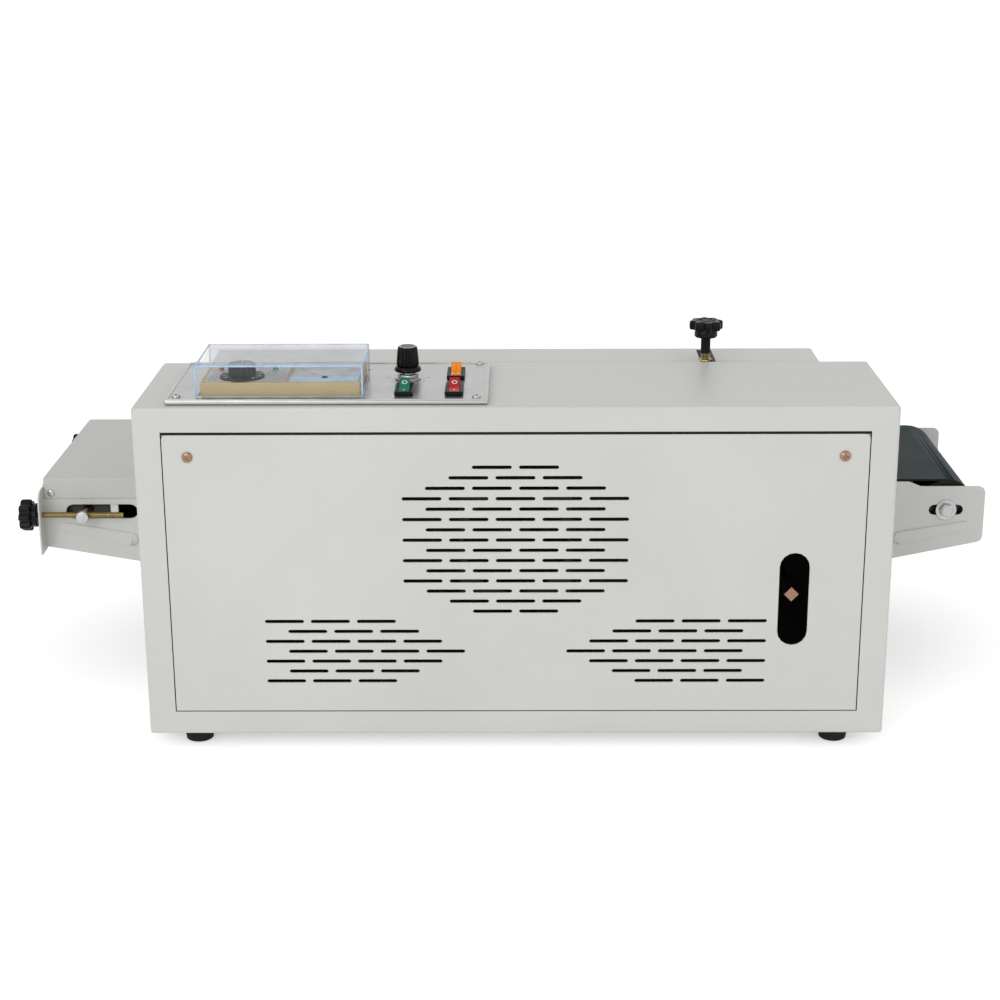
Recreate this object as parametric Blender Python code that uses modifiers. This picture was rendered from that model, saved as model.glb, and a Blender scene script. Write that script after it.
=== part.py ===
"""Continuous band sealer: a desk machine whose conveyor hangs from the operator side of its cabinet.

Lengths are metres. The machine's own axes: x = 0 is the middle of the cabinet, y = 0 the face of the
service door, z = 0 the underside of the cabinet, and y grows toward the operator. Bags travel toward -x.
The last step moves the machine so that the middle of its footprint is the origin.
"""
import bpy
import bmesh
from math import asin, atan2, cos, hypot, pi, radians, sin, tau
from mathutils import Matrix, Vector

# Fits and mesh values shared by all pieces
seat_gap = 0.0003
cut_overrun = 0.002
weld_distance = 0.00001
hole_turn_share = 0.25
sheet = 0.0015

# Cabinet
body_width = 0.620
body_depth = 0.157
body_height = 0.286
body_corner = 0.0025
frame_side = 0.0225
frame_head = 0.0208
frame_sill = 0.0205
door_gap = 0.001
door_head_gap = 0.0024
door_sheet = 0.0012
ledge_width = 0.008
gusset = 0.034
wall_sheet = 0.003
base_sheet = 0.005
base_margin = 0.009

# Door fasteners and door slot
door_screw_inset = 0.0215
door_screw_drop = 0.0208
screw_shank_radius = 0.002
reach_slot_width = 0.0248
reach_slot_height = 0.0812

# Vent slots in the door
vent_length = 0.0328
vent_width = 0.003
vent_pitch = 0.0383
vent_row_share = 0.0363711
vent_row_pitch = (body_height - frame_head - frame_sill) * vent_row_share
fan_vent_drop = 0.0298
fan_vent_top = body_height - frame_head - fan_vent_drop
fan_vent_counts = (2, 3, 4, 5, 4, 5, 4, 5, 4, 5, 4, 5, 4, 3, 2)
low_vent_inset = 0.1011
low_vent_outer = body_width / 2 - low_vent_inset
low_vent_counts = (3, 3, 4, 4, 4, 3, 3)

# Feet
foot_height = 0.012
foot_top_radius = 0.0125
foot_base_radius = 0.0115
foot_side_inset = 0.0385
foot_door_inset = 0.0215
foot_operator_inset = 0.0132

# Control panel
panel_inset = 0.0265
panel_length = 0.2615
panel_left = panel_inset - body_width / 2
panel_right = panel_left + panel_length
panel_front = 0.006
panel_back = 0.136
panel_height = 0.004
panel_edge = 0.0012
panel_well_margin = 0.010

# Temperature controller and its dust cover
controller_inset = 0.0280
controller_length = 0.1300
controller_left = panel_left + controller_inset
controller_right = controller_left + controller_length
controller_front = 0.0165
controller_back = 0.0885
controller_height = 0.0119
controller_edge = 0.0008
case_margin = 0.0055
case_depth = 0.050
meter_inset = 0.0020
meter_length = 0.0565
meter_right = controller_right - meter_inset
meter_left = meter_right - meter_length
meter_front = 0.0190
meter_back = 0.0860
meter_recess = 0.0012
dial_inset = 0.0320
dial_x = controller_left + dial_inset
dial_y = 0.0352
dial_skirt_radius = 0.0185
dial_skirt_height = 0.0015
dial_grip_radius = 0.0112
dial_grip_height = 0.0099
dial_flutes = 20
cover_lap_left = 0.0035
cover_lap_right = 0.0023
cover_left = controller_left - cover_lap_left
cover_right = controller_right + cover_lap_right
cover_front = 0.0135
cover_back = 0.0930
cover_wall = 0.002
cover_height = 0.0266
cover_edge = 0.0006

# Speed control
speed_inset = 0.0682
speed_x = panel_right - speed_inset
speed_y = 0.0790
washer_radius = 0.0112
washer_height = 0.001
nut_radius = 0.0095
nut_height = 0.0050
pot_radius = 0.0120
pot_depth = 0.020
pot_neck_radius = 0.0045
knob_skirt_radius = 0.0113
knob_foot_radius = 0.0093
knob_top_radius = 0.0083
knob_height = 0.0216
knob_skirt_height = 0.0030
knob_flutes = 16

# Rocker switches
switch_width = 0.0150
switch_length = 0.0330
switch_bezel = 0.0035
switch_edge = 0.0007
switch_body_inset = 0.0016
switch_depth = 0.020
fan_switch_inset = 0.0689
heat_switch_inset = 0.0279
fan_switch_x = panel_right - fan_switch_inset
heat_switch_x = panel_right - heat_switch_inset
switch_y = 0.0340
drive_switch_y = 0.0885
rocker_width = 0.0085
rocker_half_length = 0.0130
rocker_waist = 0.0027
rocker_horn = 0.0055
rocker_base = 0.0030
rocker_tilt = radians(12)
pivot_rise = 0.0006
pocket_depth = 0.009
pocket_margin = 0.0012

# Sealing head
head_end_inset = 0.042
head_half_length = body_width / 2 - head_end_inset
head_reach = 0.051
head_sheet = 0.0012
head_corner = 0.0015
throat_half = 0.004
guard_height = 0.040
guard_reach = 0.0492
seal_drop = 0.056
seal_z = body_height - seal_drop
head_cover_bottom = seal_z + throat_half
guard_top = seal_z - throat_half
guard_bottom = guard_top - guard_height
band_thickness = 0.0005
band_width = 0.015
band_back = 0.015
wheel_radius = 0.020
wheel_inset = 0.070
wheel_x = body_width / 2 - wheel_inset
wheel_overhang = 0.001
wheel_hub_radius = 0.009
wheel_nut = 0.005
shaft_radius = 0.005
shaft_tail = 0.007
pressure_wheel_share = 0.3541667
pressure_wheel_x = wheel_x * pressure_wheel_share
pressure_wheel_radius = 0.015

# Heating and cooling blocks inside the band loops
heater_place_share = 0.7
heater_length_share = 0.4
heater_x = wheel_x * heater_place_share
heater_length = wheel_x * heater_length_share
heater_height = 0.018
heater_edge = 0.0016
cooler_x = 0.0
cooler_length_share = 0.4583333
cooler_length = wheel_x * cooler_length_share
cooler_base = 0.008
cooler_height = 0.034
cooler_fins = 12
fin_share = 0.45
air_window_height = 0.026

# Pressure screw above the heating block
press_y = 0.0070
press_rod_radius = 0.0038
press_travel = 0.003
press_nut_width = 0.020
press_nut_height = 0.008
press_nut_clear = 0.013
press_slot_lead = 0.002
press_slot_x = heater_x + press_slot_lead
press_slot_width = 0.0135
press_slot_end = 0.045
stem_radius = 0.0042
stem_rise = 0.0058
stem_height = 0.0117
star_hub_radius = 0.0102
star_hub_height = 0.0075
star_radius = 0.0148
star_depth = 0.0022
star_height = 0.0105
star_lobes = 8

# Drive inside the cabinet
gear_teeth = 30
gear_width = 0.010
gear_wall_gap = 0.006
tooth_height_share = 0.85
tooth_root_share = 0.30
tooth_tip_share = 0.14
gearbox_half_width = 0.032
gearbox_depth = 0.040
gearbox_above = 0.020
gearbox_below = 0.058
gearbox_post_radius = 0.004
gearbox_post_inset = 0.007
gearbox_edge = 0.003
motor_radius = 0.028
motor_length = 0.105
motor_drop = 0.035
motor_edge = 0.003

# Cooling fan behind the door
fan_size = 0.092
fan_depth = 0.025
fan_row = 7.35
fan_z = fan_vent_top - fan_row * vent_row_pitch
fan_corner = 0.005
fan_bore = 0.043
fan_hub_radius = 0.016
fan_plate = 0.003
fan_arm_width = 0.006
fan_blades = 7
fan_tip_gap = 0.0015
fan_blade_thickness = 0.0018
fan_blade_pitch = radians(52)

# Electrical pieces on the base
board_left = -0.060
board_length = 0.110
board_front = 0.050
board_width = 0.070
board_sheet = 0.0016
board_stand = 0.008
board_post_radius = 0.003
board_post_inset = 0.006
board_part_sizes = ((0.020, 0.016, 0.024), (0.030, 0.022, 0.012), (0.016, 0.030, 0.030))
board_part_shares = ((0.20, 0.35), (0.50, 0.60), (0.82, 0.45))
gland_y = 0.120
gland_z = 0.032
gland_radius = 0.0095
gland_bore = 0.0040
gland_reach = 0.014
gland_thread_radius = 0.0065
gland_tail = 0.008

# Conveyor frame
belt_drop = 0.0828
conveyor_gap = 0.003
conveyor_width = 0.200
outlet_reach = 0.117
inlet_reach = 0.113
conveyor_left = -body_width / 2 - outlet_reach
conveyor_right = body_width / 2 + inlet_reach
roller_z = seal_z - belt_drop
rail_rise = 0.0263
rail_step_rise = 0.0220
rail_belly_drop = 0.0552
rail_left_drop = 0.0332
rail_right_drop = 0.0297
rail_step_inset = 0.069
rail_step_length = 0.011
rail_belly_inset = 0.012
rail_top = roller_z + rail_rise
rail_step_top = roller_z + rail_step_rise
rail_step_start = conveyor_right - rail_step_inset
rail_step_end = rail_step_start + rail_step_length
rail_belly = roller_z - rail_belly_drop
rail_belly_reach = body_width / 2 - rail_belly_inset
rail_left_bottom = roller_z - rail_left_drop
rail_right_bottom = roller_z - rail_right_drop
rail_corner = 0.006
tab_reach = 0.020
tab_rise = 0.0232
tab_drop = 0.0349
tab_top = roller_z + tab_rise
tab_bottom = roller_z - tab_drop
tab_corner = 0.012
bead_rise = 0.0012
bead_outer_reach = 0.0960
bead_outer_drop = 0.0147
bead_outer_x = body_width / 2 + bead_outer_reach
bead_outer_z = roller_z - bead_outer_drop
bead_outer_radius = 0.0036
bead_inner_reach = 0.0385
bead_inner_drop = 0.0265
bead_inner_x = body_width / 2 + bead_inner_reach
bead_inner_z = roller_z - bead_inner_drop
bead_inner_radius = 0.0056
take_up_slot_inset = 0.0205
take_up_slot_length = 0.0652
take_up_slot_left = conveyor_left + take_up_slot_inset
take_up_slot_right = take_up_slot_left + take_up_slot_length
take_up_slot_height = 0.0134
idler_slot_length = 0.031
idler_slot_height = 0.0096
bed_sheet = 0.0012
bed_flange = 0.015
bed_left_inset = 0.087
bed_right_inset = 0.065
bed_left = conveyor_left + bed_left_inset
bed_right = conveyor_right - bed_right_inset

# Outlet cover over the tension roller
outlet_length = 0.097
outlet_rise = 0.0323
outlet_skirt_rise = 0.0123
outlet_right = conveyor_left + outlet_length
outlet_top = roller_z + outlet_rise
outlet_skirt = roller_z + outlet_skirt_rise
outlet_corner = 0.0012

# Conveyor rollers and belt
roller_radius = 0.0248
roller_wall = 0.0025
roller_cap = 0.004
roller_end_gap = 0.008
idler_inset = 0.0345
take_up_inset = 0.0390
idler_x = conveyor_right - idler_inset
take_up_x = conveyor_left + take_up_inset
axle_radius = 0.0045
axle_gap = 0.0003
axle_washer_radius = 0.0095
axle_washer = 0.0012
axle_head_radius = 0.0060
axle_head = 0.0050
drum_radius = 0.022
drum_drop = 0.0222
drum_z = roller_z - drum_drop
snub_x = 0.048
snub_drop = 0.0387
snub_z = roller_z - snub_drop
snub_radius = 0.010
snub_journal_radius = 0.004
belt_thickness = 0.0016
belt_edge_gap = 0.0065

# Tension screws
tension_offset = 0.010
tension_rod_radius = 0.0028
tension_rod_length = 0.0745
tension_rod_end = conveyor_left + tension_rod_length
tension_hub_radius = 0.0108
tension_hub_length = 0.0052
tension_star_radius = 0.0150
tension_star_depth = 0.0020
tension_star_length = 0.0117
tension_stand = 0.002
take_up_cap_radius = 0.0056
take_up_cap = 0.004
take_up_neck = 0.0050

# Height clamps
clamp_inset = 0.080
clamp_drop = 0.0263
clamp_x = body_width / 2 - clamp_inset
clamp_z = roller_z - clamp_drop
clamp_bolt_radius = 0.004
clamp_slot_width = 0.0090
clamp_slot_height = 0.0815
clamp_head_radius = 0.0063
clamp_head = 0.011
clamp_long_start = 0.012
clamp_short_start = 0.128
clamp_nut_radius = 0.0068
clamp_nut = 0.0048
bracket_width = 0.044
bracket_drop = 0.0209
bracket_rise = 0.0451
bracket_bottom = clamp_z - bracket_drop
bracket_top = clamp_z + bracket_rise
bracket_sheet = 0.0024
bracket_corner = 0.005

# Places worked out from the values above
wall_inner = body_depth - wall_sheet
head_back = body_depth + seat_gap
head_front = body_depth + head_reach
panel_top = body_height + seat_gap + panel_height
band_start = body_depth + band_back
band_end = band_start + band_width
upper_axis_z = seal_z + seat_gap / 2 + band_thickness + seat_gap + wheel_radius
lower_axis_z = seal_z - seat_gap / 2 - band_thickness - seat_gap - wheel_radius
upper_press_z = seal_z + seat_gap / 2 + band_thickness + seat_gap + pressure_wheel_radius
lower_press_z = seal_z - seat_gap / 2 - band_thickness - seat_gap - pressure_wheel_radius
block_clear = seat_gap / 2 + band_thickness + seat_gap
near_rail = body_depth + conveyor_gap
far_rail = near_rail + conveyor_width
opening_half = body_width / 2 - frame_side
opening_top = body_height - frame_head
screw_x = opening_half - door_screw_inset
screw_z = opening_top - door_screw_drop


def clear_scene():
    for ob in list(bpy.data.objects):
        bpy.data.objects.remove(ob, do_unlink=True)


def collection(name):
    group = bpy.data.collections.new(name)
    bpy.context.scene.collection.children.link(group)
    return group


def paint(name, colour, roughness, metallic, alpha=1):
    material = bpy.data.materials.new(name)
    material.use_nodes = True
    shader = material.node_tree.nodes["Principled BSDF"]
    shader.inputs["Base Color"].default_value = (*colour, 1)
    shader.inputs["Roughness"].default_value = roughness
    shader.inputs["Metallic"].default_value = metallic
    shader.inputs["Alpha"].default_value = alpha
    return material


def machine_place(ob):
    """Where an object's origin lies on the machine's own axes."""
    place = Vector()
    while ob is not None:
        place += ob.location
        ob = ob.parent
    return place


def attach(ob, finish, at, parent):
    if finish is not None:
        ob.data.materials.append(finish)
    ob.parent = parent
    ob.location = Vector(at) - machine_place(parent)
    parts.objects.link(ob)
    return ob


def axis_frame(name, at, parent):
    """An empty on a joint's axis, which carries the pieces that move there."""
    frame = bpy.data.objects.new(name, None)
    frame.parent = parent
    frame.location = Vector(at) - machine_place(parent)
    parts.objects.link(frame)
    return frame


def from_bmesh(name, bm):
    mesh = bpy.data.meshes.new(name)
    bm.to_mesh(mesh)
    bm.free()
    return bpy.data.objects.new(name, mesh)


def soften(ob, width, segments=2):
    edge = ob.modifiers.new("edge", "BEVEL")
    edge.width = width
    edge.segments = segments
    edge.limit_method = "ANGLE"


def smooth(ob):
    ob.data.shade_smooth()
    ob.data.set_sharp_from_angle(angle=radians(35))


def block(name, low, high, finish, parent, edge=0, segments=2):
    low, high = Vector(low), Vector(high)
    bm = bmesh.new()
    bmesh.ops.create_cube(bm, size=1, matrix=Matrix.Diagonal((*(high - low), 1)))
    ob = attach(from_bmesh(name, bm), finish, (low + high) / 2, parent)
    if edge:
        soften(ob, edge, segments)
    return ob


def rod(name, radius, start, end, finish, parent, sides=20):
    start, end = Vector(start), Vector(end)
    bm = bmesh.new()
    bmesh.ops.create_cone(bm, cap_ends=True, segments=sides, radius1=radius, radius2=radius,
                          depth=(end - start).length)
    ob = attach(from_bmesh(name, bm), finish, (start + end) / 2, parent)
    ob.rotation_euler = (end - start).to_track_quat("Z", "Y").to_euler()
    smooth(ob)
    return ob


def turned(name, profile, at, axis, finish, parent, steps=24):
    """A profile of (radius, height) turned about a line through at. It starts at the top, runs down its
    outer side and, where it has a bore, climbs back inside it."""
    count = len(profile)
    edges = [(i, i + 1) for i in range(count - 1)]
    if profile[0][0] > 0:
        edges.append((count - 1, 0))
    mesh = bpy.data.meshes.new(name)
    mesh.from_pydata([(radius, 0, height) for radius, height in profile], edges, [])
    ob = attach(bpy.data.objects.new(name, mesh), finish, at, parent)
    ob.rotation_euler = Vector(axis).to_track_quat("Z", "Y").to_euler()
    screw = ob.modifiers.new("turn", "SCREW")
    screw.axis = "Z"
    screw.steps = steps
    screw.render_steps = steps
    screw.use_merge_vertices = True
    screw.merge_threshold = weld_distance
    return ob


def prism(name, outlines, low, high, axis, finish, parent):
    """A flat outline with any holes, drawn across an axis and thick from low to high along it."""
    curve = bpy.data.curves.new(name, "CURVE")
    curve.dimensions = "2D"
    curve.fill_mode = "BOTH"
    curve.extrude = (high - low) / 2
    for outline in outlines:
        spline = curve.splines.new("POLY")
        spline.points.add(len(outline) - 1)
        for point, (u, v) in zip(spline.points, outline):
            point.co = (u, v, 0, 1)
        spline.use_cyclic_u = True
    drawn = bpy.data.objects.new(name, curve)
    parts.objects.link(drawn)
    seen = drawn.evaluated_get(bpy.context.evaluated_depsgraph_get())
    mesh = bpy.data.meshes.new_from_object(seen)
    bpy.data.objects.remove(drawn, do_unlink=True)
    bm = bmesh.new()
    bm.from_mesh(mesh)
    bpy.data.meshes.remove(mesh)
    bmesh.ops.remove_doubles(bm, verts=bm.verts, dist=weld_distance)
    bmesh.ops.recalc_face_normals(bm, faces=bm.faces)
    middle = (low + high) / 2
    at = {"X": (middle, 0, 0), "Y": (0, middle, 0), "Z": (0, 0, middle)}[axis]
    ob = attach(from_bmesh(name, bm), finish, at, parent)
    ob.rotation_euler = {"X": (pi / 2, 0, pi / 2), "Y": (pi / 2, 0, 0), "Z": (0, 0, 0)}[axis]
    return ob


def lobed(name, rings, lobes, at, axis, finish, parent, points_per_lobe=4):
    """A knob lofted through rings of (radius, lobe depth, height), from the lowest to the highest."""
    count = lobes * points_per_lobe
    bm = bmesh.new()
    rows = []
    for radius, depth, height in rings:
        row = []
        for i in range(count):
            angle = tau * i / count
            reach = radius - depth * (1 - cos(lobes * angle)) / 2
            row.append(bm.verts.new((reach * cos(angle), reach * sin(angle), height)))
        rows.append(row)
    for below, above in zip(rows, rows[1:]):
        for i in range(count):
            j = (i + 1) % count
            bm.faces.new((below[i], below[j], above[j], above[i]))
    bm.faces.new(reversed(rows[0]))
    bm.faces.new(rows[-1])
    ob = attach(from_bmesh(name, bm), finish, at, parent)
    ob.rotation_euler = Vector(axis).to_track_quat("Z", "Y").to_euler()
    smooth(ob)
    return ob


def tool(target, other, operation):
    """Cuts another object out of the target, or joins it on, and keeps it as a wire guide."""
    step = target.modifiers.new(other.name, "BOOLEAN")
    step.operation = operation
    step.object = other
    step.solver = "EXACT"
    parts.objects.unlink(other)
    guides.objects.link(other)
    other.hide_render = True
    other.display_type = "WIRE"


def cut(target, *others):
    for other in others:
        tool(target, other, "DIFFERENCE")


def join(target, *others):
    for other in others:
        tool(target, other, "UNION")


def rectangle(left, right, bottom, top):
    return [(left, bottom), (right, bottom), (right, top), (left, top)]


def circle(u, v, radius, sides=20):
    turns = [tau * (i + hole_turn_share) / sides for i in range(sides)]
    return [(u + radius * cos(turn), v + radius * sin(turn)) for turn in turns]


def stadium(u, v, length, width, angle=0, steps=3):
    """A slot of an overall length and width, its long side turned by angle from the u axis."""
    radius = width / 2
    points = []
    for end in (0, pi):
        centre = length / 2 - radius
        cu = u + centre * cos(angle + end)
        cv = v + centre * sin(angle + end)
        for i in range(steps + 1):
            turn = angle + end - pi / 2 + pi * i / steps
            points.append((cu + radius * cos(turn), cv + radius * sin(turn)))
    return points


def filleted(corners, radii, steps=4):
    """A closed outline with each corner rounded by its own radius; zero keeps it sharp."""
    points = []
    count = len(corners)
    for i, radius in enumerate(radii):
        corner = Vector(corners[i])
        if radius == 0:
            points.append(tuple(corner))
            continue
        back = (Vector(corners[i - 1]) - corner).normalized()
        ahead = (Vector(corners[(i + 1) % count]) - corner).normalized()
        half = back.angle(ahead) / 2
        middle = corner + (back + ahead).normalized() * (radius / sin(half))
        start = corner + back * (radius * cos(half) / sin(half)) - middle
        end = corner + ahead * (radius * cos(half) / sin(half)) - middle
        first = atan2(start.y, start.x)
        sweep = (atan2(end.y, end.x) - first + pi) % tau - pi
        for k in range(steps + 1):
            turn = first + sweep * k / steps
            points.append((middle.x + radius * cos(turn), middle.y + radius * sin(turn)))
    return points


def loop_path(wheels, thickness, outer, steps=10):
    """One face of a belt that runs counter-clockwise round wheels of (u, v, radius, side). Side is +1 for
    a wheel inside the loop and -1 for one that presses on its back."""
    signed = []
    for u, v, radius, side in wheels:
        lift = seat_gap + thickness * (1 if outer == (side > 0) else 0)
        signed.append((Vector((u, v)), side * (radius + lift)))
    headings = []
    for i, (centre, reach) in enumerate(signed):
        following, next_reach = signed[(i + 1) % len(signed)]
        run = following - centre
        headings.append(atan2(run.y, run.x) - asin((next_reach - reach) / run.length))
    points = []
    for i, (centre, reach) in enumerate(signed):
        arrive, leave = headings[i - 1], headings[i]
        sweep = (leave - arrive) % tau if reach > 0 else -((arrive - leave) % tau)
        arc_steps = max(2, round(steps * abs(sweep) / pi))
        for k in range(arc_steps + 1):
            heading = arrive + sweep * k / arc_steps
            points.append((centre.x + reach * sin(heading), centre.y - reach * cos(heading)))
    return points


def belt(name, wheels, thickness, low, high, finish, parent, steps=10):
    outlines = [loop_path(wheels, thickness, True, steps), loop_path(wheels, thickness, False, steps)]
    return prism(name, outlines, low, high, "Y", finish, parent)


def make_cabinet_shell():
    half = body_width / 2
    frame_depth = 2 * sheet
    shell = block("cabinet_shell", (-half, 0, 0), (half, body_depth, body_height), grey_coat, machine,
                  body_corner)
    cut(shell, block("cabinet_cavity", (-half + sheet, frame_depth, sheet),
                     (half - sheet, body_depth + cut_overrun, body_height - sheet), None, machine))
    cut(shell, block("door_pocket", (-opening_half, -cut_overrun, frame_sill),
                     (opening_half, sheet, opening_top), None, machine))
    inner = opening_half - ledge_width
    low, high = frame_sill + ledge_width, opening_top - ledge_width
    throat = [(-inner, low), (inner, low), (inner, high - gusset), (inner - gusset, high),
              (-inner + gusset, high), (-inner, high - gusset)]
    cut(shell, prism("door_throat", [throat], -cut_overrun, frame_depth + cut_overrun, "Y", None, machine))
    for name, x in (("pilot_left", -screw_x), ("pilot_right", screw_x)):
        cut(shell, rod(name, screw_shank_radius + seat_gap, (x, -cut_overrun, screw_z),
                       (x, frame_depth + cut_overrun, screw_z), None, machine))
    well = [panel_left + panel_well_margin, panel_front + panel_well_margin,
            panel_right - panel_well_margin, panel_back - panel_well_margin]
    cut(shell, block("panel_well", (well[0], well[1], body_height - sheet - cut_overrun),
                     (well[2], well[3], body_height + cut_overrun), None, machine))
    cut(shell, rod("gland_hole", gland_thread_radius + seat_gap, (half - sheet - cut_overrun, gland_y, gland_z),
                   (half + cut_overrun, gland_y, gland_z), None, machine))


def vent_row(first, z, count):
    return [stadium(first + i * vent_pitch, z, vent_length, vent_width) for i in range(count)]


def vent_outlines():
    """A centred cluster before the fan and a tapering cluster low on each side."""
    slots = []
    for row, count in enumerate(fan_vent_counts):
        first = -(count - 1) * vent_pitch / 2
        slots += vent_row(first, fan_vent_top - row * vent_row_pitch, count)
    for row, count in enumerate(low_vent_counts):
        z = fan_vent_top - (len(fan_vent_counts) + row) * vent_row_pitch
        stagger = (row % 2) * vent_pitch / 2
        first = low_vent_outer - vent_length / 2 - stagger
        slots += vent_row(-first, z, count)
        slots += vent_row(first - (count - 1) * vent_pitch, z, count)
    return slots


def make_service_door():
    left, right = -opening_half + door_gap, opening_half - door_gap
    bottom, top = frame_sill + door_gap, opening_top - door_head_gap
    corner = door_screw_drop / 6
    outline = filleted(rectangle(left, right, bottom, top), (0, 0, corner, corner), 2)
    holes = vent_outlines()
    holes.append(stadium(clamp_x, clamp_z, reach_slot_height, reach_slot_width, pi / 2, 8))
    for x in (-screw_x, screw_x):
        holes.append(circle(x, screw_z, screw_shank_radius + seat_gap, 12))
    prism("service_door", [outline] + holes, 0, door_sheet, "Y", grey_coat, machine)


def make_feet():
    profile = [(0, -seat_gap), (foot_top_radius, -seat_gap), (foot_top_radius, -foot_height / 3),
               (foot_base_radius, -foot_height), (0, -foot_height)]
    near, far = foot_door_inset, body_depth - foot_operator_inset
    left, right = foot_side_inset - body_width / 2, body_width / 2 - foot_side_inset
    for name, x, y in (("foot_door_left", left, near), ("foot_door_right", right, near),
                       ("foot_operator_left", left, far), ("foot_operator_right", right, far)):
        turned(name, profile, (x, y, 0), (0, 0, 1), black_rubber, machine)


def shaft_places():
    """The six shafts that the operator wall carries, as x and z."""
    return [(wheel_x, upper_axis_z), (wheel_x, lower_axis_z), (-wheel_x, upper_axis_z),
            (-wheel_x, lower_axis_z), (pressure_wheel_x, upper_press_z), (pressure_wheel_x, lower_press_z)]


def make_operator_wall():
    half = body_width / 2 - sheet - seat_gap
    outline = rectangle(-half, half, sheet + seat_gap, body_height - sheet - seat_gap)
    holes = [circle(x, z, shaft_radius + seat_gap) for x, z in shaft_places()]
    for x in (-clamp_x, clamp_x):
        holes.append(stadium(x, clamp_z, clamp_slot_height, clamp_slot_width, pi / 2, 6))
    holes.append(stadium(cooler_x, seal_z + cooler_base + air_window_height / 2, cooler_length / 2,
                         air_window_height / 2, 0, 6))
    prism("operator_wall", [outline] + holes, wall_inner, body_depth, "Y", grey_coat, machine)
    base_top = sheet + seat_gap + base_sheet
    block("base_plate", (-body_width / 2 + base_margin, base_margin, sheet + seat_gap),
          (body_width / 2 - base_margin, wall_inner - seat_gap, base_top), zinc_steel, machine)


def make_control_panel():
    low = body_height + seat_gap
    panel = block("control_panel", (panel_left, panel_front, low), (panel_right, panel_back, panel_top),
                  satin_aluminium, machine, panel_edge)
    below, above = low - cut_overrun, panel_top + cut_overrun
    cut(panel, block("controller_cut", (controller_left + case_margin - seat_gap,
                                        controller_front + case_margin - seat_gap, below),
                     (controller_right - case_margin + seat_gap,
                      controller_back - case_margin + seat_gap, above), None, machine))
    half_width = switch_width / 2 - switch_body_inset + seat_gap
    half_length = switch_length / 2 - switch_body_inset + seat_gap
    for name, x, y in (("fan_switch_cut", fan_switch_x, switch_y), ("heat_switch_cut", heat_switch_x, switch_y),
                       ("drive_switch_cut", heat_switch_x, drive_switch_y)):
        cut(panel, block(name, (x - half_width, y - half_length, below),
                         (x + half_width, y + half_length, above), None, machine))
    cut(panel, rod("speed_cut", pot_neck_radius + seat_gap, (speed_x, speed_y, below),
                   (speed_x, speed_y, above), None, machine))


def make_controller():
    low = panel_top + seat_gap
    top = low + controller_height
    body = block("temperature_controller", (controller_left, controller_front, low),
                 (controller_right, controller_back, top), champagne, machine, controller_edge)
    join(body, block("controller_case", (controller_left + case_margin, controller_front + case_margin,
                                         low - case_depth),
                     (controller_right - case_margin, controller_back - case_margin,
                      top - controller_height / 2), None, machine))
    cut(body, block("meter_recess", (meter_left, meter_front, top - meter_recess),
                    (meter_right, meter_back, top + cut_overrun), None, machine))
    frame = axis_frame("temperature_axis", (dial_x, dial_y, top), machine)
    foot = seat_gap
    skirt = foot + dial_skirt_height
    crown = skirt + dial_grip_height
    rings = [(dial_skirt_radius, 0, foot), (dial_skirt_radius, 0, foot + dial_skirt_height / 2),
             (dial_grip_radius, 0, skirt), (dial_grip_radius, dial_grip_radius / 18, skirt + dial_skirt_height),
             (dial_grip_radius, dial_grip_radius / 18, crown - dial_skirt_height / 2),
             (dial_grip_radius - dial_skirt_height / 2, 0, crown)]
    lobed("temperature_dial", rings, dial_flutes, (dial_x, dial_y, top), (0, 0, 1), black_plastic, frame, 3)


def make_dust_cover():
    low = panel_top + seat_gap
    outer_low = (cover_left, cover_front, low)
    outer_high = (cover_right, cover_back, low + cover_height)
    cover_frame = axis_frame("dust_cover_axis", (dial_x, dial_y, low), machine)
    cover = block("dust_cover", outer_low, outer_high, clear_acrylic, cover_frame, cover_edge)
    inner_low = (outer_low[0] + cover_wall, outer_low[1] + cover_wall, low - cut_overrun)
    inner_high = (outer_high[0] - cover_wall, outer_high[1] - cover_wall, outer_high[2] - cover_wall)
    cut(cover, block("dust_cover_cavity", inner_low, inner_high, None, cover_frame))


def make_speed_control():
    low = panel_top + seat_gap
    shaft_top = low + washer_height + nut_height
    neck = pot_neck_radius
    profile = [(0, shaft_top), (nut_radius, shaft_top), (nut_radius, low + washer_height),
               (washer_radius, low + washer_height), (washer_radius, low), (neck, low),
               (neck, panel_top - panel_height - seat_gap),
               (pot_radius, panel_top - panel_height - seat_gap),
               (pot_radius, panel_top - panel_height - pot_depth), (0, panel_top - panel_height - pot_depth)]
    turned("speed_potentiometer", profile, (speed_x, speed_y, 0), (0, 0, 1), zinc_steel, machine)
    frame = axis_frame("speed_axis", (speed_x, speed_y, shaft_top), machine)
    foot = seat_gap
    crown = foot + knob_height
    flute = knob_top_radius / 9
    rings = [(knob_skirt_radius - knob_skirt_height / 3, 0, foot),
             (knob_skirt_radius, 0, foot + knob_skirt_height / 3),
             (knob_foot_radius + knob_skirt_height / 4, 0, foot + knob_skirt_height),
             (knob_foot_radius, flute, foot + knob_skirt_height * 1.4),
             (knob_top_radius, flute, crown - knob_skirt_height / 2),
             (knob_top_radius - knob_skirt_height / 3, 0, crown)]
    lobed("speed_knob", rings, knob_flutes, (speed_x, speed_y, shaft_top), (0, 0, 1), black_plastic, frame, 4)


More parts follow.
